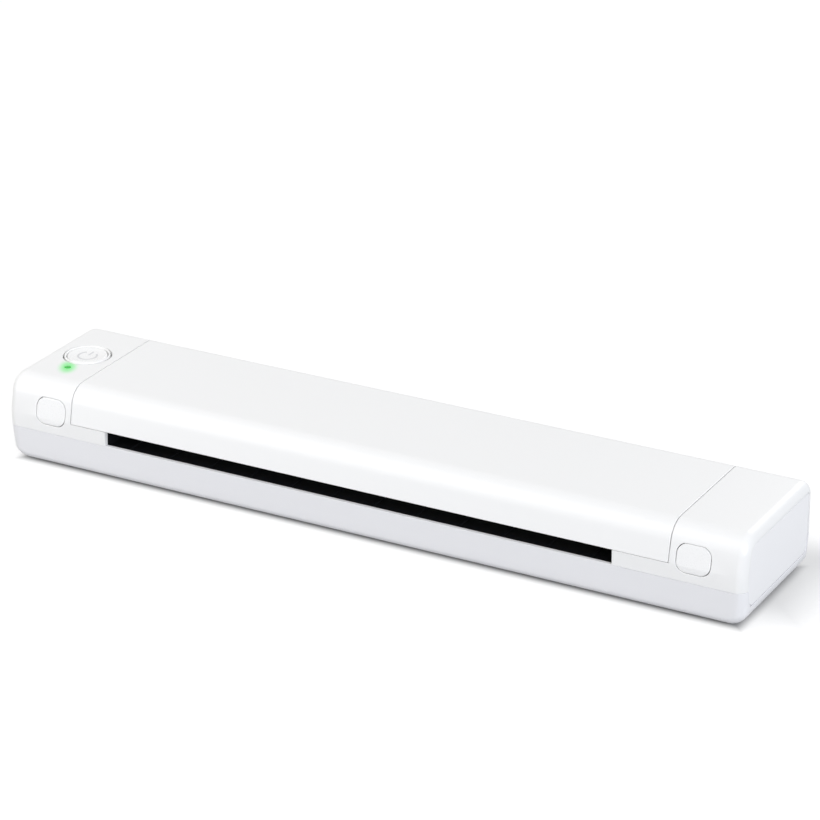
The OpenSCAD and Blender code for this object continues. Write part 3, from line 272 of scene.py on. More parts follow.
def moulded_abs(name, colour, roughness, grain_mm=0.45, depth_mm=0.006):
    """ABS from an eroded mould: one colour all through, a grain that dulls its shine."""
    material, tree, skin, place = new_material(name)
    skin.inputs["IOR"].default_value = 1.53
    # The real grain is near 0.1 mm; it is drawn coarser so that it shows at all
    grain = add(tree, "ShaderNodeTexNoise", {"Vector": place},
                Scale=1000 / grain_mm, Detail=3.0, Roughness=0.55)
    relief = add(tree, "ShaderNodeBump", {"Height": grain.outputs["Fac"]}, Strength=1.0,
                 Distance=depth_mm / 1000)
    shine = add(tree, "ShaderNodeMapRange", {"Value": grain.outputs["Fac"]}, From_Min=0.3,
                From_Max=0.7, To_Min=roughness - 0.03, To_Max=roughness + 0.05)
    # Flow of the melt: patches a hand wide, a shade apart
    flow = add(tree, "ShaderNodeTexNoise", {"Vector": place}, Scale=1000 / 70,
               Detail=1.0)
    tint = add(tree, "ShaderNodeValToRGB", {"Fac": flow.outputs["Fac"]})
    tint.color_ramp.elements[0].color = [c * 0.985 for c in linear(colour)[:3]] + [1]
    tint.color_ramp.elements[1].color = linear(colour)
    tree.links.new(tint.outputs["Color"], skin.inputs["Base Color"])
    tree.links.new(shine.outputs["Result"], skin.inputs["Roughness"])
    tree.links.new(relief.outputs["Normal"], skin.inputs["Normal"])
    return material


base_white = moulded_abs("white_abs_base", "#F0F0F2", 0.38)
finish(recast("lower_shell", 0.28), "base_tray", base_white, "base", ["lower_shell"])


# ---------- Feet ----------
# Four round pads of grey silicone rubber, punched from sheet and stuck in their recesses. Rubber
# scatters light in its ground face, so it has hardly any shine.
def rubber(name, colour, roughness, grain_mm, depth_mm):
    """Vulcanised rubber: dark, dull, with a ground or pressed grain and a little bloom on it."""
    material, tree, skin, place = new_material(name)
    skin.inputs["IOR"].default_value = 1.52
    grit = add(tree, "ShaderNodeTexNoise", {"Vector": place},
               Scale=1000 / grain_mm, Detail=5.0, Roughness=0.7)
    bloom = add(tree, "ShaderNodeTexNoise", {"Vector": place}, Scale=1000 / 12,
                Detail=2.0)
    tint = add(tree, "ShaderNodeValToRGB", {"Fac": bloom.outputs["Fac"]})
    tint.color_ramp.elements[0].color = linear(colour)
    tint.color_ramp.elements[1].color = [c * 1.5 + 0.004 for c in linear(colour)[:3]] + [1]
    shine = add(tree, "ShaderNodeMapRange", {"Value": grit.outputs["Fac"]}, From_Min=0.3,
                From_Max=0.7, To_Min=roughness - 0.08, To_Max=roughness + 0.08)
    relief = add(tree, "ShaderNodeBump", {"Height": grit.outputs["Fac"]}, Strength=1.0,
                 Distance=depth_mm / 1000)
    tree.links.new(tint.outputs["Color"], skin.inputs["Base Color"])
    tree.links.new(shine.outputs["Result"], skin.inputs["Roughness"])
    tree.links.new(relief.outputs["Normal"], skin.inputs["Normal"])
    return material


foot_rubber = rubber("grey_silicone_pads", "#4A4C50", 0.72, 0.5, 0.02)
finish(recast("rubber_feet", 0.35), "foot_pads", foot_rubber, "base",
       ["rubber_feet"])


# ---------- Screws ----------
# Self tapping steel screws with cross recesses, headed and thread rolled from wire, zinc plated and
# passivated dark. Each row gives a node of the frame, the way its heads look and their height.
def solids_of(node):
    """The lowest and highest corner of each separate solid in a node of the frame."""
    shape = bmesh.new()
    shape.from_mesh(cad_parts[node].data)
    bmesh.ops.remove_doubles(shape, verts=shape.verts, dist=merge_within)
    left, boxes = set(shape.verts), []
    while left:
        reached = [left.pop()]
        for vert in reached:
            for edge in vert.link_edges:
                other = edge.other_vert(vert)
                if other in left:
                    left.remove(other)
                    reached.append(other)
        boxes.append([Vector([end(v.co[i] for v in reached) for i in range(3)])
                      for end in (min, max)])
    shape.free()
    return sorted(boxes, key=lambda b: tuple(b[0]))


def lathe(profile, steps=32):
    """Turns a profile of (radius, height) points in millimetres round the z axis."""
    shape = bmesh.new()
    points = [shape.verts.new((r / 1000, 0, z / 1000)) for r, z in profile]
    line = [shape.edges.new(pair) for pair in zip(points, points[1:])]
    bmesh.ops.spin(shape, geom=points + line, cent=(0, 0, 0), axis=(0, 0, 1), dvec=(0, 0, 0),
                   angle=math.tau, steps=steps, use_merge=True, use_duplicate=False)
    bmesh.ops.remove_doubles(shape, verts=shape.verts, dist=1e-7)
    return shape


def join(shape, other, place):
    """Adds a copy of one shape to another, moved into its place."""
    copy = bpy.data.meshes.new("copy")
    other.to_mesh(copy)
    copy.transform(place)
    shape.from_mesh(copy)
    bpy.data.meshes.remove(copy)


def screw(head_r, head_h, shank_r, length, plain=0):
    """A pan head screw along z, its head's top at z = 0 and its tip at -length, in millimetres."""
    core_r = shank_r * 0.8
    profile = [(head_r * 0.82, 0), (head_r * 0.95, -head_h * 0.25), (head_r, -head_h * 0.6),
               (head_r, -head_h)]
    if plain:
        profile += [(shank_r, -head_h), (shank_r, -head_h - plain)]
    profile.append((core_r, -head_h - plain))
    pitch = shank_r * 0.62
    z = -head_h - plain - pitch * 0.6
    while z > -length + core_r + pitch:
        profile += [(core_r, z), (shank_r, z - pitch * 0.35), (core_r, z - pitch * 0.7)]
        z -= pitch
    shape = lathe(profile + [(core_r, -length + core_r), (0, -length)], 24)
    rim = [e for e in shape.edges if e.is_boundary]
    # The cross recess: a ring of its outline is joined to the head's rim, and its floor sinks
    w, l = head_r * 0.13, head_r * 0.56
    corners = [(l, -w), (l, w), (w, w), (w, l), (-w, l), (-w, w), (-l, w), (-l, -w), (-w, -w),
               (-w, -l), (w, -l), (w, -w)]
    ring = [shape.verts.new(((a + (c - a) * t) / 1000, (b + (d - b) * t) / 1000, 0))
            for (a, b), (c, d) in zip(corners, corners[1:] + corners[:1]) for t in (0, 0.5)]
    cross = [shape.edges.new((ring[i - 1], ring[i])) for i in range(len(ring))]
    bmesh.ops.bridge_loops(shape, edges=rim + cross)
    deep = bmesh.ops.extrude_edge_only(shape, edges=cross)
    sunk = [v for v in deep["geom"] if isinstance(v, bmesh.types.BMVert)]
    bmesh.ops.scale(shape, vec=(0.7, 0.7, 1), verts=sunk)
    bmesh.ops.translate(shape, vec=(0, 0, -head_h * 0.7 / 1000), verts=sunk)
    bmesh.ops.holes_fill(shape, edges=[e for e in shape.edges if e.is_boundary], sides=0)
    bmesh.ops.recalc_face_normals(shape, faces=shape.faces)
    return shape


def bare_metal(name, colour, roughness, grain_mm, along=(1, 1, 1), relief_mm=0.002):
    """Metal with the marks of how it was worked, drawn out along one direction."""
    material, tree, skin, place = new_material(name)
    skin.inputs["Metallic"].default_value = 1.0
    draw = add(tree, "ShaderNodeMapping", {"Vector": place}, Scale=along)
    marks = add(tree, "ShaderNodeTexNoise", {"Vector": draw.outputs["Vector"]},
                Scale=1000 / grain_mm, Detail=3.0)
    stain = add(tree, "ShaderNodeTexNoise", {"Vector": place}, Scale=1000 / 9)
    tint = add(tree, "ShaderNodeValToRGB", {"Fac": stain.outputs["Fac"]})
    tint.color_ramp.elements[0].color = [c * 0.86 for c in linear(colour)[:3]] + [1]
    tint.color_ramp.elements[1].color = linear(colour)
    shine = add(tree, "ShaderNodeMapRange", {"Value": marks.outputs["Fac"]}, From_Min=0.3,
                From_Max=0.7, To_Min=roughness - 0.06, To_Max=roughness + 0.08)
    relief = add(tree, "ShaderNodeBump", {"Height": marks.outputs["Fac"]}, Strength=1.0,
                 Distance=relief_mm / 1000)
    tree.links.new(tint.outputs["Color"], skin.inputs["Base Color"])
    tree.links.new(shine.outputs["Result"], skin.inputs["Roughness"])
    tree.links.new(relief.outputs["Normal"], skin.inputs["Normal"])
    return material


dark_zinc = bare_metal("dark_passivated_zinc", "#7C7F84", 0.36, 0.25)
head_up, head_down = Matrix(), Matrix.Rotation(math.pi, 4, "X")
head_right = Matrix.Rotation(math.pi / 2, 4, "Y")
shank_r = 1.22
# A motor screw less tall than this, in millimetres, lies on its side. Board and frame screws that
# start above their heights, in metres, go in from below, as all of the case's do
least_upright, button_board_z, inner_frame_z = 4.5, 0.025, 0.021
for node, body, head_h, plain in (
        ("case_screws", "base", 1.8, 0), ("deck_screws", "base", 1.1, 0),
        ("board_screws", "base", 1.1, 0), ("motor_screws", "base", 1.1, 0),
        ("frame_screws", "cover", 0.9, 0), ("head_screws", "print_head", 1.2, 8.6)):
    shape = bmesh.new()
    for low, high in solids_of(node):
        centre, reach = (low + high) / 2, (high - low) * 1000
        if node == "motor_screws" and reach.z < least_upright:
            one = screw(reach.z / 2, head_h, shank_r, reach.x)
            place = Matrix.Translation((high.x, centre.y, centre.z)) @ head_right
        else:
            up = not (node == "case_screws" or node == "board_screws" and low.z > button_board_z
                      or node == "frame_screws" and low.z > inner_frame_z)
            one = screw(reach.x / 2, head_h, shank_r, reach.z, plain)
            place = Matrix.Translation((centre.x, centre.y, high.z if up else low.z)) @ (
                head_up if up else head_down)
        join(shape, one, place)
        one.free()
    finish(shape, node + "_cross_recess", dark_zinc, body, [node], crease=40)


# ---------- Circuit boards and what is soldered on them ----------
# Glass fibre epoxy under green solder mask, with the copper tracks showing through as raised lines
# and tinned holes. The parts are black moulded epoxy with tinned legs, sockets and cans.
def printed_board(name, mask, track):
    """Solder mask over etched copper: glossy lacquer with tracks in low relief and tinned vias."""
    material, tree, skin, place = new_material(name)
    skin.inputs["IOR"].default_value = 1.55
    tracks = add(tree, "ShaderNodeTexBrick", {"Vector": place},
                 Color1=linear(mask), Color2=[c * 1.12 for c in linear(mask)[:3]] + [1],
                 Mortar=linear(track), Scale=1000 / 6.35, Mortar_Size=0.022, Mortar_Smooth=0.1,
                 Brick_Width=0.9, Row_Height=0.2)
    dots = add(tree, "ShaderNodeTexVoronoi", {"Vector": place}, Scale=1000 / 3.2)
    vias = add(tree, "ShaderNodeMath", {0: dots.outputs["Distance"]}, operation="LESS_THAN")
    vias.inputs[1].default_value = 0.10
    tint = add(tree, "ShaderNodeMix", {"Factor": vias.outputs["Value"]}, data_type="RGBA")
    tree.links.new(tracks.outputs["Color"], tint.inputs[6])
    tint.inputs[7].default_value = linear("#C9CACC")
    relief = add(tree, "ShaderNodeBump", {"Height": tracks.outputs["Fac"]}, Strength=1.0,
                 Distance=0.00004)
    tree.links.new(tint.outputs[2], skin.inputs["Base Color"])
    tree.links.new(vias.outputs["Value"], skin.inputs["Metallic"])
    tree.links.new(relief.outputs["Normal"], skin.inputs["Normal"])
    skin.inputs["Roughness"].default_value = 0.24
    return material


def speckled(name, colour, roughness, grain_mm, depth_mm):
    """Moulded epoxy or fired clay: an even colour broken by the filler's fine specks."""
    material, tree, skin, place = new_material(name)
    specks = add(tree, "ShaderNodeTexVoronoi", {"Vector": place},
                 Scale=1000 / grain_mm)
    tint = add(tree, "ShaderNodeValToRGB", {"Fac": specks.outputs["Distance"]})
    tint.color_ramp.elements[0].color = [min(c * 1.25 + 0.003, 1) for c in linear(colour)[:3]] + [1]
    tint.color_ramp.elements[1].color = linear(colour)
    tint.color_ramp.elements[1].position = 0.35
    relief = add(tree, "ShaderNodeBump", {"Height": specks.outputs["Distance"]}, Strength=1.0,
                 Distance=depth_mm / 1000)
    tree.links.new(tint.outputs["Color"], skin.inputs["Base Color"])
    tree.links.new(relief.outputs["Normal"], skin.inputs["Normal"])
    skin.inputs["Roughness"].default_value = roughness
    return material


def block(shape, low, high, edge_mm):
    """Adds a block between two corners in millimetres, with its edges rounded."""
    made = bmesh.ops.create_cube(shape, size=1)["verts"]
    size = [(b - a) / 1000 for a, b in zip(low, high)]
    middle = [(a + b) / 2000 for a, b in zip(low, high)]
    bmesh.ops.scale(shape, vec=size, verts=made)
    bmesh.ops.translate(shape, vec=middle, verts=made)
    edges = list({e for v in made for e in v.link_edges})
    bmesh.ops.bevel(shape, geom=edges, offset=edge_mm / 1000, offset_type="OFFSET", segments=2,
                    profile=0.5, affect="EDGES", clamp_overlap=True, material=-1)


solder_mask = printed_board("green_solder_mask", "#1E6B3C", "#2F8A52")
for node in ("main_board", "charge_board", "button_board"):
    finish(recast(node, 0.12), node + "_laminate", solder_mask, "base", [node])

package_epoxy = speckled("black_package_epoxy", "#232427", 0.55, 0.4, 0.006)
tinned = bare_metal("tinned_legs", "#C4C6C8", 0.3, 0.5)
can_metal = bare_metal("drawn_aluminium_cans", "#C9CBCE", 0.3, 0.6, along=(1, 1, 0.1))
packages, legs, cans = bmesh.new(), bmesh.new(), bmesh.new()
least_can_h, least_socket_l = 3.5, 11
wall, end_gap, pins, pin_w = 0.6, 1.5, 7, 0.4
leg_pitch, leg_l, leg_w, leg_t = 0.8, 1.0, 0.32, 0.18
for low, high in solids_of("board_chips"):
    low, high = low * 1000, high * 1000
    middle, size = (low + high) / 2, high - low
    if size.z > least_can_h:
        # An aluminium can: rolled groove near its foot, and a sleeve of shade round its top
        can = lathe([(0, 0), (2.55, 0), (2.6, 0.15), (2.6, 0.7), (2.35, 0.9), (2.35, 1.05),
                     (2.6, 1.3), (2.6, 3.9), (2.45, 4.15), (1.9, 4.2), (1.8, 4.05), (0, 4.05)], 40)
        bmesh.ops.recalc_face_normals(can, faces=can.faces)
        join(cans, can, Matrix.Translation((middle.x / 1000, middle.y / 1000, low.z / 1000)))
        can.free()
        continue
    if size.x == max(size) and size.x > least_socket_l:
        # A plug socket: an open tray with a row of pins in it
        block(packages, low, (high.x, high.y, low.z + 0.5), 0.1)
        for y0, y1 in ((low.y, low.y + wall), (high.y - wall, high.y)):
            block(packages, (low.x, y0, low.z), (high.x, y1, high.z), 0.12)
        for x0, x1 in ((low.x, low.x + wall), (high.x - wall, high.x)):
            block(packages, (x0, low.y, low.z), (x1, high.y, high.z), 0.12)
        for i in range(pins):
            x = low.x + end_gap + i * (size.x - 2 * end_gap) / (pins - 1)
            block(legs, (x - pin_w / 2, middle.y - pin_w / 2, low.z + 0.4),
                  (x + pin_w / 2, middle.y + pin_w / 2, high.z - 0.5), 0.06)
        continue
    body = (low.x + 0.9, low.y + 0.9, low.z + 0.12), (high.x - 0.9, high.y - 0.9, high.z)
    block(packages, *body, 0.15)
    dot = lathe([(0, 0), (0.35, 0), (0.35, 0.03), (0, 0.03)], 16)
    bmesh.ops.recalc_face_normals(dot, faces=dot.faces)
    join(legs, dot, Matrix.Translation(
        ((low.x + 1.7) / 1000, (high.y - 1.7) / 1000, high.z / 1000 - 2e-5)))
    dot.free()
    for i in range(int((size.x - 2.6) / leg_pitch) + 1):
        x = low.x + end_gap + i * leg_pitch
        for y0, y1 in ((low.y, low.y + leg_l), (high.y - leg_l, high.y)):
            block(legs, (x - leg_w / 2, y0, low.z), (x + leg_w / 2, y1, low.z + leg_t), 0.05)
finish(packages, "moulded_packages", package_epoxy, "base", ["board_chips"])
finish(legs, "tinned_legs_and_pins", tinned, "base")
finish(cans, "aluminium_cans", can_metal, "base")

# The push switch under the power button, with its steel cap and round plunger, and the lamp
switch_parts = sorted(solids_of("power_switch"), key=lambda b: -(b[1].z - b[0].z))
(low, high), (lamp_low, lamp_high) = [(a * 1000, b * 1000) for a, b in switch_parts]
push_switch = bmesh.new()
block(push_switch, low, (high.x, high.y, high.z - 0.75), 0.2)
plunger = lathe([(0, 0), (1.7, 0), (1.7, 0.65), (1.5, 0.8), (0, 0.8)], 32)
bmesh.ops.recalc_face_normals(plunger, faces=plunger.faces)
join(push_switch, plunger, Matrix.Translation(((low.x + high.x) / 2000, (low.y + high.y) / 2000,
                                              (high.z - 0.8) / 1000)))
plunger.free()
block(push_switch, lamp_low, (lamp_high.x, lamp_high.y, lamp_high.z - 0.3), 0.05)
finish(push_switch, "push_switch", package_epoxy, "base", ["power_switch"])
switch_cap = bmesh.new()
block(switch_cap, (low.x + 0.05, low.y + 0.05, high.z - 1.0),
      (high.x - 0.05, high.y - 0.05, high.z - 0.7), 0.08)
finish(switch_cap, "push_switch_cap", tinned, "base")


# ---------- Charging socket ----------
# A drawn stainless shell round a black tongue, which has gold plated contacts on both its faces.
# It is soldered to the charging board, behind its opening in the left end.
polished_steel = bare_metal("drawn_stainless", "#B9BBBE", 0.22, 0.6, along=(0.15, 1, 1))
finish(recast("usb_port", 0.06), "socket_shell", polished_steel, "base",
       ["usb_port"])
low, high = (corner * 1000 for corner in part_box("usb_port"))
middle = (low + high) / 2
tongue, contacts = bmesh.new(), bmesh.new()
tongue_w, tongue_t = 6.9, 0.84
in_a_row, contact_pitch, contact_z, contact_w, contact_t = 12, 0.5, 0.43, 0.26, 0.06
block(tongue, (low.x + 0.8, middle.y - tongue_w / 2, middle.z - tongue_t / 2),
      (high.x - 0.7, middle.y + tongue_w / 2, middle.z + tongue_t / 2), 0.12)
for i in range(in_a_row):
    y = middle.y + (i - (in_a_row - 1) / 2) * contact_pitch
    for z in (middle.z - contact_z, middle.z + contact_z):
        block(contacts, (low.x + 1.1, y - contact_w / 2, z - contact_t / 2),
              (high.x - 1.2, y + contact_w / 2, z + contact_t / 2), 0.015)
tongue_plastic = moulded_abs("black_socket_tongue", "#1B1C1E", 0.4)
finish(tongue, "socket_tongue", tongue_plastic, "base")
gold_plate = bare_metal("gold_plated_contacts", "#D9B56A", 0.25, 0.4)
finish(contacts, "socket_contacts", gold_plate, "base")


# ---------- Battery ----------
# Two flat lithium cells end to end in heat shrunk blue film, with the protection strip taped
# between them. The film is glossy, with soft wrinkles where it has drawn in.
def shrink_film(name, colour):
    """Heat shrunk film: a clear gloss over one colour, wrinkled along its length."""
    material, tree, skin, place = new_material(name)
    skin.inputs["IOR"].default_value = 1.53
    skin.inputs["Roughness"].default_value = 0.28
    drawn = add(tree, "ShaderNodeMapping", {"Vector": place}, Scale=(0.35, 1, 1))
    wrinkles = add(tree, "ShaderNodeTexNoise", {"Vector": drawn.outputs["Vector"]}, Scale=1000 / 6,
                   Detail=4.0, Distortion=0.6)
    tint = add(tree, "ShaderNodeValToRGB", {"Fac": wrinkles.outputs["Fac"]})
    tint.color_ramp.elements[0].color = [c * 0.85 for c in linear(colour)[:3]] + [1]
    tint.color_ramp.elements[1].color = linear(colour)
    relief = add(tree, "ShaderNodeBump", {"Height": wrinkles.outputs["Fac"]}, Strength=1.0,
                 Distance=0.0002)
    tree.links.new(tint.outputs["Color"], skin.inputs["Base Color"])
    tree.links.new(relief.outputs["Normal"], skin.inputs["Normal"])
    return material


finish(recast("battery_pack", 0.3), "battery_in_film", shrink_film("blue_shrink_film", "#3C63A6"),
       "base", ["battery_pack"])


# ---------- Motor and gear plate ----------
# A can stepping motor, its steel drawn and zinc plated, screwed to a bent plate of plated sheet
# that also holds the axle of the reduction gear.
zinc_sheet = bare_metal("zinc_plated_sheet", "#BFC2C6", 0.34, 0.5, along=(1, 0.25, 1))
finish(recast("gear_plate", 0.12), "motor_plate", zinc_sheet, "base",
       ["gear_plate"])
drawn_can = bare_metal("drawn_motor_can", "#AEB1B5", 0.3, 0.6, along=(0.2, 1, 1))
finish(recast("stepper_motor", 0.2), "motor_can", drawn_can, "base",
       ["stepper_motor"])


# ---------- Paper deck ----------
# Black ABS bed that closes both slots from below, with low ribs from front to back. Its mould is
# polished finer than the case's, which leaves it a little shinier.
deck_black = moulded_abs("black_abs_deck", "#141517", 0.36, depth_mm=0.005)
finish(recast("paper_deck", 0.12), "paper_bed", deck_black, "base",
       ["paper_deck"])
low, high = (corner * 1000 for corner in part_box("paper_sensor"))
sensor = bmesh.new()
block(sensor, low, (high.x, high.y, high.z - 0.05), 0.15)
finish(sensor, "paper_sensor_body", package_epoxy, "base", ["paper_sensor"])
eyes = bmesh.new()
eye_lens = lathe([(0, 0), (0.75, 0), (0.75, 0.25), (0.5, 0.38), (0, 0.42)], 24)
bmesh.ops.recalc_face_normals(eye_lens, faces=eye_lens.faces)
for x in ((low.x * 3 + high.x) / 4, (low.x + high.x * 3) / 4):
    join(eyes, eye_lens, Matrix.Translation(
        (x / 1000, (low.y + high.y) / 2000, high.z / 1000 - 0.0004)))
eye_lens.free()
smoked = shrink_film("smoked_lens_resin", "#3A1418")
finish(eyes, "paper_sensor_eyes", smoked, "base")
finish(recast("cover_switch", 0.15), "cover_switch_body", package_epoxy, "base",
       ["cover_switch"])


# ---------- Feed roller and its gears ----------
# A ground steel shaft in sintered bronze bushes carries the black rubber platen. Acetal gears drive
# it from the motor's brass pinion.
ground_steel = bare_metal("ground_steel", "#B4B7BB", 0.24, 0.3, along=(0.3, 1, 1))
platen_rubber = rubber("ground_platen_rubber", "#2B2C2F", 0.62, 0.35, 0.012)
bronze = bare_metal("sintered_bronze", "#A9825A", 0.45, 0.3, relief_mm=0.01)
brass = bare_metal("milled_brass", "#C9A45C", 0.28, 0.4)
clip_steel = bare_metal("blued_spring_steel", "#6E7278", 0.3, 0.3)


def acetal(name, colour):
    """Natural acetal: a dense waxy white that lets a little light in, with turned-looking gloss."""
    material, tree, skin, place = new_material(name)
    skin.inputs["IOR"].default_value = 1.48
    skin.inputs["Subsurface Weight"].default_value = 0.15
    skin.inputs["Subsurface Scale"].default_value = 0.0008
    wax = add(tree, "ShaderNodeTexNoise", {"Vector": place}, Scale=1000 / 2.5,
              Detail=2.0)
    tint = add(tree, "ShaderNodeValToRGB", {"Fac": wax.outputs["Fac"]})
    tint.color_ramp.elements[0].color = [c * 0.94 for c in linear(colour)[:3]] + [1]
    tint.color_ramp.elements[1].color = linear(colour)
    relief = add(tree, "ShaderNodeBump", {"Height": wax.outputs["Fac"]}, Strength=1.0,
                 Distance=0.00001)
    tree.links.new(tint.outputs["Color"], skin.inputs["Base Color"])
    tree.links.new(relief.outputs["Normal"], skin.inputs["Normal"])
    skin.inputs["Roughness"].default_value = 0.4
    return material


gear_acetal = acetal("natural_acetal", "#E8E6DC")
for node, name, edge_mm, material, body, slot in (
        ("platen_shaft", "roller_shaft", 0.15, ground_steel, "platen", "steel"),
        ("platen_rubber", "roller_rubber", 0.3, platen_rubber, "platen", "platen_rubber"),
        ("platen_gear", "roller_gear", 0.08, gear_acetal, "platen", "gear_moulding"),
        ("shaft_clip", "retaining_clip", 0.08, clip_steel, "platen", "spring_steel"),
        ("left_bush", "left_bearing_bush", 0.15, bronze, "base", "bronze"),
        ("right_bush", "right_bearing_bush", 0.15, bronze, "base", "bronze"),
        ("idler_gear", "reduction_gear", 0.08, gear_acetal, "idler", "gear_moulding"),
        ("idler_axle", "reduction_axle", 0.12, ground_steel, "base", "steel"),
        ("motor_pinion", "pinion", 0.06, brass, "motor_rotor", "bronze"),
        ("motor_shaft", "rotor_shaft", 0.08, ground_steel, "motor_rotor", "steel")):
    finish(recast(node, edge_mm), name, material, body, [node])


# ---------- End housings and their end plates ----------
# White ABS mouldings over both ends, screwed on from below, with strips that frame the slots.
# The end plates are separate flat mouldings, pegged into a recess.
shell_white = moulded_abs("white_abs_shell", "#F3F3F2", 0.34)
lens_low, lens_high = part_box("status_lens")
lamp_place = (lens_low + lens_high) / 2
lamp_place.z = lens_high.z
painted_glow_white = moulded_abs("white_abs_painted_lamp_glow", "#F3F3F2", 0.34)
# Painted light: round the lamp, green is mixed into the plastic's white for a few millimetres, a
# painted glow of the lamp shining into it. The painted glow is drawn longer towards the viewer, who
# looks along the housing, so that it looks round from there
towards_eye, painted_glow_length = math.radians(29), 1.75
tree = painted_glow_white.node_tree
skin = tree.nodes["Principled BSDF"]
place = add(tree, "ShaderNodeTexCoord").outputs["Object"]
around = add(tree, "ShaderNodeMapping", {"Vector": place}, vector_type="TEXTURE",
             Location=lamp_place, Rotation=(0, 0, towards_eye), Scale=(1, painted_glow_length, 1))
away = add(tree, "ShaderNodeVectorMath", {0: around.outputs["Vector"]}, operation="LENGTH")
glow = add(tree, "ShaderNodeMapRange", {"Value": away.outputs["Value"]},
           interpolation_type="SMOOTHERSTEP", From_Min=0.0006, From_Max=0.0052, To_Min=0.85,
           To_Max=0.0)
plain = skin.inputs["Base Color"].links[0].from_socket
painted_green_glow = add(tree, "ShaderNodeMix", {"Factor": glow.outputs["Result"]}, data_type="RGBA")
tree.links.new(plain, painted_green_glow.inputs[6])
painted_green_glow.inputs[7].default_value = linear("#6CF07C")
tree.links.new(painted_green_glow.outputs[2], skin.inputs["Base Color"])
finish(recast("left_end_housing", 0.28), "left_end_cap", painted_glow_white, "base",
       ["left_end_housing"])
finish(recast("right_end_housing", 0.28), "right_end_cap", shell_white, "base",
       ["right_end_housing"])
# The end plates' white is brighter than the case's: painted light that lifts the end faces
end_plate_white_painted_lighter = moulded_abs("white_abs_panel_painted_lighter", "#F8F8F9", 0.42, depth_mm=0.009)
for side in ("left", "right"):
    finish(recast(side + "_side_panel", 0.3), side + "_end_plate", end_plate_white_painted_lighter, "base",
           [side + "_side_panel"])


# ---------- Power button and status lamp ----------
# A dished white ABS button in a rounded bezel, both finer in the grain than the case, and a green
# lens. The power sign on the button is pad printed in pale grey.
button_white = moulded_abs("white_abs_buttons", "#F5F5F4", 0.28, grain_mm=0.35, depth_mm=0.004)
low, high = (corner * 1000 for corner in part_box("power_ring"))
button_x, button_y = (low.x + high.x) / 2, (low.y + high.y) / 2
shoulder_r, bezel_top = (high.x - low.x) / 2, high.z
at_button = Matrix.Translation((button_x / 1000, button_y / 1000, 0))
bezel = lathe([(8.25, low.z), (shoulder_r, low.z), (shoulder_r, low.z + 1.2), (9.14, low.z + 1.2),
               (9.14, bezel_top - 0.5), (9.07, bezel_top - 0.25), (8.93, bezel_top - 0.06),
               (8.74, bezel_top), (8.53, bezel_top - 0.06), (8.34, bezel_top - 0.25),
               (8.25, bezel_top - 0.5), (8.25, low.z)], 96)
bmesh.ops.recalc_face_normals(bezel, faces=bezel.faces)
shape = bmesh.new()
join(shape, bezel, at_button)
bezel.free()
finish(shape, "power_bezel", button_white, "base", ["power_ring"])
low, high = (corner * 1000 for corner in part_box("power_button_cap"))
top = high.z
# Radius and depth of the dish
dish = (0, 0.58), (1.4, 0.58), (2.8, 0.56), (4.2, 0.5), (5.4, 0.38), (6.4, 0.2)
cap = lathe([(0, low.z), (2, low.z), (2, top - 1.6), (8, top - 1.6), (8, top - 0.55),
             (7.92, top - 0.28), (7.72, top - 0.08), (7.45, top), (7.1, top - 0.04)]
            + [(r, top - depth) for r, depth in reversed(dish)], 96)
bmesh.ops.recalc_face_normals(cap, faces=cap.faces)
shape = bmesh.new()
join(shape, cap, at_button)
cap.free()
finish(shape, "power_button", button_white, "power_button",
       ["power_button_cap"], crease=40)


def bowl(x, y):
    """The height of the button's dished face, in millimetres, that the print follows."""
    r = math.hypot(x, y)
    for (r0, z0), (r1, z1) in zip(dish, dish[1:]):
        if r <= r1:
            return top - z0 + (z0 - z1) * (r - r0) / (r1 - r0)
    return top


sign = bmesh.new()
arc_r, line_w = 3.7, 0.85
gap_edge, arc_sweep = 90 + 38, 285
buried, print_t = 0.04, 0.07
turned = [math.radians(gap_edge + a) for a in range(0, arc_sweep, 4)]
rails = [[sign.verts.new((r * math.cos(a), r * math.sin(a), 0)) for a in turned]
         for r in (arc_r - line_w / 2, arc_r + line_w / 2)]
for (a, b), (c, d) in zip(zip(*rails), list(zip(*rails))[1:]):
    sign.faces.new((a, b, d, c))
bar = [[sign.verts.new((x, y / 10, 0)) for y in range(8, 47, 3)] for x in (-line_w / 2, line_w / 2)]
for (a, b), (c, d) in zip(zip(*bar), list(zip(*bar))[1:]):
    sign.faces.new((a, b, d, c))
for vert in sign.verts:
    vert.co = Vector((vert.co.x, vert.co.y, bowl(vert.co.x, vert.co.y) - buried)) / 1000
raised = bmesh.ops.extrude_face_region(sign, geom=sign.faces[:])
bmesh.ops.translate(sign, vec=(0, 0, print_t / 1000),
                    verts=[v for v in raised["geom"] if isinstance(v, bmesh.types.BMVert)])
bmesh.ops.transform(sign, matrix=at_button, verts=sign.verts)
bmesh.ops.recalc_face_normals(sign, faces=sign.faces)
sign_grey = moulded_abs("pad_printed_grey", "#D9D9DA", 0.5, grain_mm=0.3, depth_mm=0.003)
finish(sign, "power_sign", sign_grey, "power_button")

lens_green, tree, skin, place = new_material("lit_green_polycarbonate")
skin.inputs["IOR"].default_value = 1.58
skin.inputs["Roughness"].default_value = 0.18
skin.inputs["Emission Strength"].default_value = 0.25
away = add(tree, "ShaderNodeVectorMath", {0: place}, operation="DISTANCE")
away.inputs[1].default_value = lamp_place
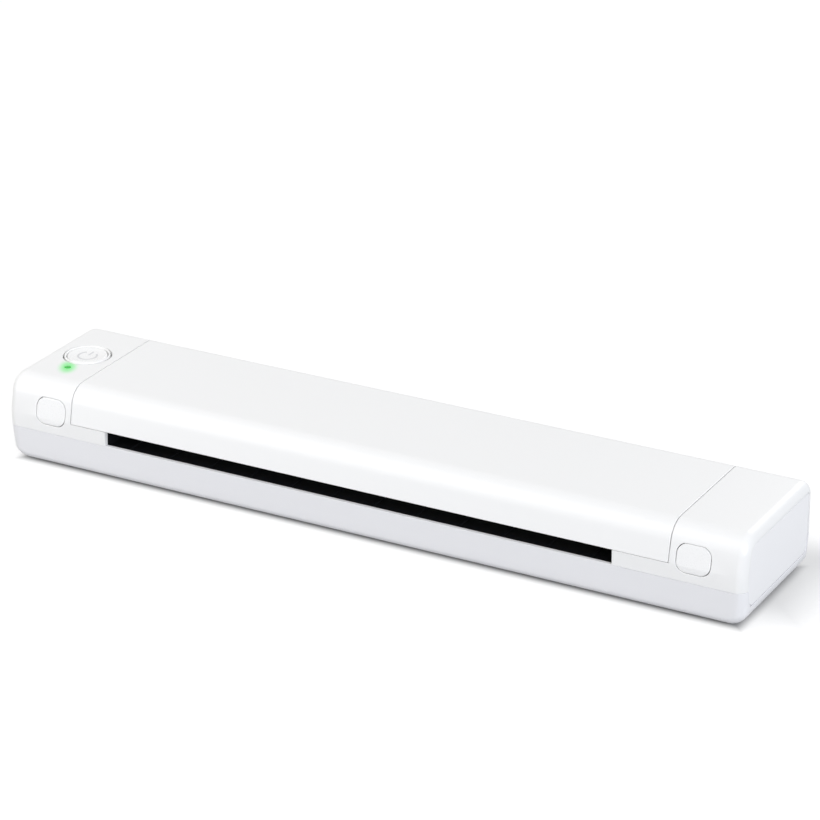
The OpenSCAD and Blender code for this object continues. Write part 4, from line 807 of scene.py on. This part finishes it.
# The lamp below the lens is a little brighter in its middle
heart = add(tree, "ShaderNodeValToRGB")
spread = add(tree, "ShaderNodeMapRange", {"Value": away.outputs["Value"]}, From_Max=0.00125)
tree.links.new(spread.outputs["Result"], heart.inputs["Fac"])
heart.color_ramp.elements[0].color = linear("#008A18")
heart.color_ramp.elements[1].color = linear("#0AB229")
tree.links.new(heart.outputs["Color"], skin.inputs["Base Color"])
tree.links.new(heart.outputs["Color"], skin.inputs["Emission Color"])
low, high = lens_low * 1000, lens_high * 1000
lens_r = (high.x - low.x) / 2
lens = lathe([(0, low.z), (lens_r, low.z), (lens_r, high.z - 0.25), (lens_r * 0.93, high.z - 0.1),
              (lens_r * 0.7, high.z - 0.02), (0, high.z)], 40)
bmesh.ops.recalc_face_normals(lens, faces=lens.faces)
shape = bmesh.new()
join(shape, lens, Matrix.Translation((lamp_place.x, lamp_place.y, 0)))
lens.free()
finish(shape, "status_lamp_lens", lens_green, "base", ["status_lens"])


# ---------- Release buttons and latches ----------
# White ABS buttons in the front corners push acetal sliders back against a spring, which frees the
# hooks of the cover. The springs are wound from steel wire with closed ends.
slider_acetal = acetal("grey_acetal_sliders", "#4A4C50")


def coil(radius, wire, length, turns, place):
    """A compression spring along z, in millimetres, with one more closed turn at each end."""
    shape = bmesh.new()
    bmesh.ops.create_circle(shape, cap_ends=False, segments=10, radius=wire / 2000)
    bmesh.ops.transform(shape, verts=shape.verts, matrix=Matrix.Translation(
        (radius / 1000, 0, wire / 2000)) @ Matrix.Rotation(math.pi / 2, 4, "X"))
    ring, steps = shape.verts[:] + shape.edges[:], 28
    closed = wire * 1.02
    for count, rise in ((1, closed), (turns, (length - wire - 2 * closed) / turns), (1, closed)):
        ring = bmesh.ops.spin(shape, geom=ring, cent=(0, 0, 0), axis=(0, 0, 1),
                              dvec=(0, 0, rise / steps / 1000), angle=math.tau * count,
                              steps=int(steps * count), use_merge=False,
                              use_duplicate=False)["geom_last"]
        ring = [item for item in ring if isinstance(item, (bmesh.types.BMVert, bmesh.types.BMEdge))]
    bmesh.ops.holes_fill(shape, edges=[e for e in shape.edges if e.is_boundary], sides=0)
    bmesh.ops.recalc_face_normals(shape, faces=shape.faces)
    bmesh.ops.transform(shape, matrix=place, verts=shape.verts)
    return shape


spring_wire = bare_metal("drawn_spring_wire", "#A5A8AC", 0.3, 0.25)
along_depth = Matrix.Rotation(-math.pi / 2, 4, "X")
for side in ("left", "right"):
    body = side + "_release"
    finish(recast(side + "_release_button", 0.35), side + "_release_key", button_white, body,
           [side + "_release_button"])
    finish(recast(side + "_latch_slider", 0.15), side + "_slider", slider_acetal, body,
           [side + "_latch_slider"])
    low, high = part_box(side + "_latch_spring")
    seat = Matrix.Translation(((low.x + high.x) / 2, low.y, (low.z + high.z) / 2)) @ along_depth
    wound = coil(radius=2.2, wire=0.5, length=(high.y - low.y) * 1000, turns=3, place=seat)
    spring = finish(wound, side + "_slider_spring", spring_wire, "base",
                    [side + "_latch_spring"])
    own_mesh(spring)


# ---------- Cover ----------
# White ABS lid between the end housings, hinged on two steel pins at the back, with a black inner
# frame screwed into it that closes both slots from above and holds the steel hooks.
finish(recast("cover_shell", 0.32), "lid", shell_white, "cover", ["cover_shell"])
finish(recast("hinge_pins", 0.2), "hinge_pin_pair", ground_steel, "base", ["hinge_pins"])
finish(recast("head_frame", 0.15), "inner_frame", deck_black, "cover",
       ["head_frame"])
for side in ("left", "right"):
    finish(recast(side + "_catch", 0.12), side + "_hook", zinc_sheet, "cover",
           [side + "_catch"])


# ---------- Print head ----------
# An alumina plate with a glazed heater line, bonded to an extruded aluminium sink. Four springs on
# shoulder screws press it down, and a resin strip covers its drivers.
head_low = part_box("head_ceramic")[0]
roller_low, roller_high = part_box("platen_rubber")
heat_y = (roller_low.y + roller_high.y) / 2
alumina, tree, skin, place = new_material("fired_alumina")
skin.inputs["IOR"].default_value = 1.76
skin.inputs["Roughness"].default_value = 0.22
apart = add(tree, "ShaderNodeSeparateXYZ", {"Vector": place})
# Fired gold conductors, a quarter millimetre apart, lead back from the heater line
half_pitch, half_line, line_back = 0.000125, 0.00006, 0.0004
comb = add(tree, "ShaderNodeMath", {0: apart.outputs["X"]}, operation="PINGPONG")
comb.inputs[1].default_value = half_pitch
lines = add(tree, "ShaderNodeMath", {0: comb.outputs["Value"]}, operation="LESS_THAN")
lines.inputs[1].default_value = half_line
behind = add(tree, "ShaderNodeMath", {0: apart.outputs["Y"]}, operation="LESS_THAN")
behind.inputs[1].default_value = heat_y - line_back
gold = add(tree, "ShaderNodeMath", {0: lines.outputs["Value"], 1: behind.outputs["Value"]},
           operation="MULTIPLY")
clay = add(tree, "ShaderNodeTexNoise", {"Vector": place}, Scale=1000 / 0.6,
           Detail=2.0)
base_tint = add(tree, "ShaderNodeValToRGB", {"Fac": clay.outputs["Fac"]})
base_tint.color_ramp.elements[0].color = linear("#CFD0C8")
base_tint.color_ramp.elements[1].color = linear("#DDDED8")
tint = add(tree, "ShaderNodeMix", {"Factor": gold.outputs["Value"]}, data_type="RGBA")
tree.links.new(base_tint.outputs["Color"], tint.inputs[6])
tint.inputs[7].default_value = linear("#B79A5C")
tree.links.new(tint.outputs[2], skin.inputs["Base Color"])
finish(recast("head_ceramic", 0.08), "heater_plate", alumina, "print_head",
       ["head_ceramic"])
bead = bmesh.new()
bead_h, bead_w, bead_inset = 0.00008, 0.0006, 0.001
bmesh.ops.create_circle(bead, cap_ends=True, segments=20, radius=1)
bmesh.ops.scale(bead, vec=(bead_h, bead_w, 1), verts=bead.verts)
bmesh.ops.transform(bead, matrix=Matrix.Rotation(math.pi / 2, 4, "Y"), verts=bead.verts)
drawn_out = bmesh.ops.extrude_face_region(bead, geom=bead.faces[:])
bmesh.ops.translate(bead, vec=(roller_high.x - roller_low.x - 2 * bead_inset, 0, 0),
                    verts=[v for v in drawn_out["geom"] if isinstance(v, bmesh.types.BMVert)])
bmesh.ops.translate(bead, vec=(roller_low.x + bead_inset, heat_y, head_low.z + 0.00001),
                    verts=bead.verts)
bmesh.ops.recalc_face_normals(bead, faces=bead.faces)
glaze = shrink_film("fired_brown_glaze", "#4A3326")
finish(bead, "heater_line", glaze, "print_head")
driver_resin = speckled("black_driver_resin", "#1D1E21", 0.4, 1.2, 0.02)
finish(recast("head_driver_cover", 0.15), "driver_strip", driver_resin, "print_head",
       ["head_driver_cover"])
extruded = bare_metal("extruded_aluminium", "#C3C5C8", 0.34, 0.4, along=(0.05, 1, 1),
                      relief_mm=0.006)
finish(recast("head_heatsink", 0.15), "head_sink", extruded, "print_head",
       ["head_heatsink"])
shape = bmesh.new()
for low, high in solids_of("head_springs"):
    seat = Matrix.Translation(((low.x + high.x) / 2, (low.y + high.y) / 2, low.z))
    one = coil(radius=2.1, wire=0.5, length=(high.z - low.z) * 1000, turns=4, place=seat)
    join(shape, one, Matrix())
    one.free()
head_springs = finish(shape, "head_spring_set", spring_wire, "cover",
                      ["head_springs"])
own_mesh(head_springs)
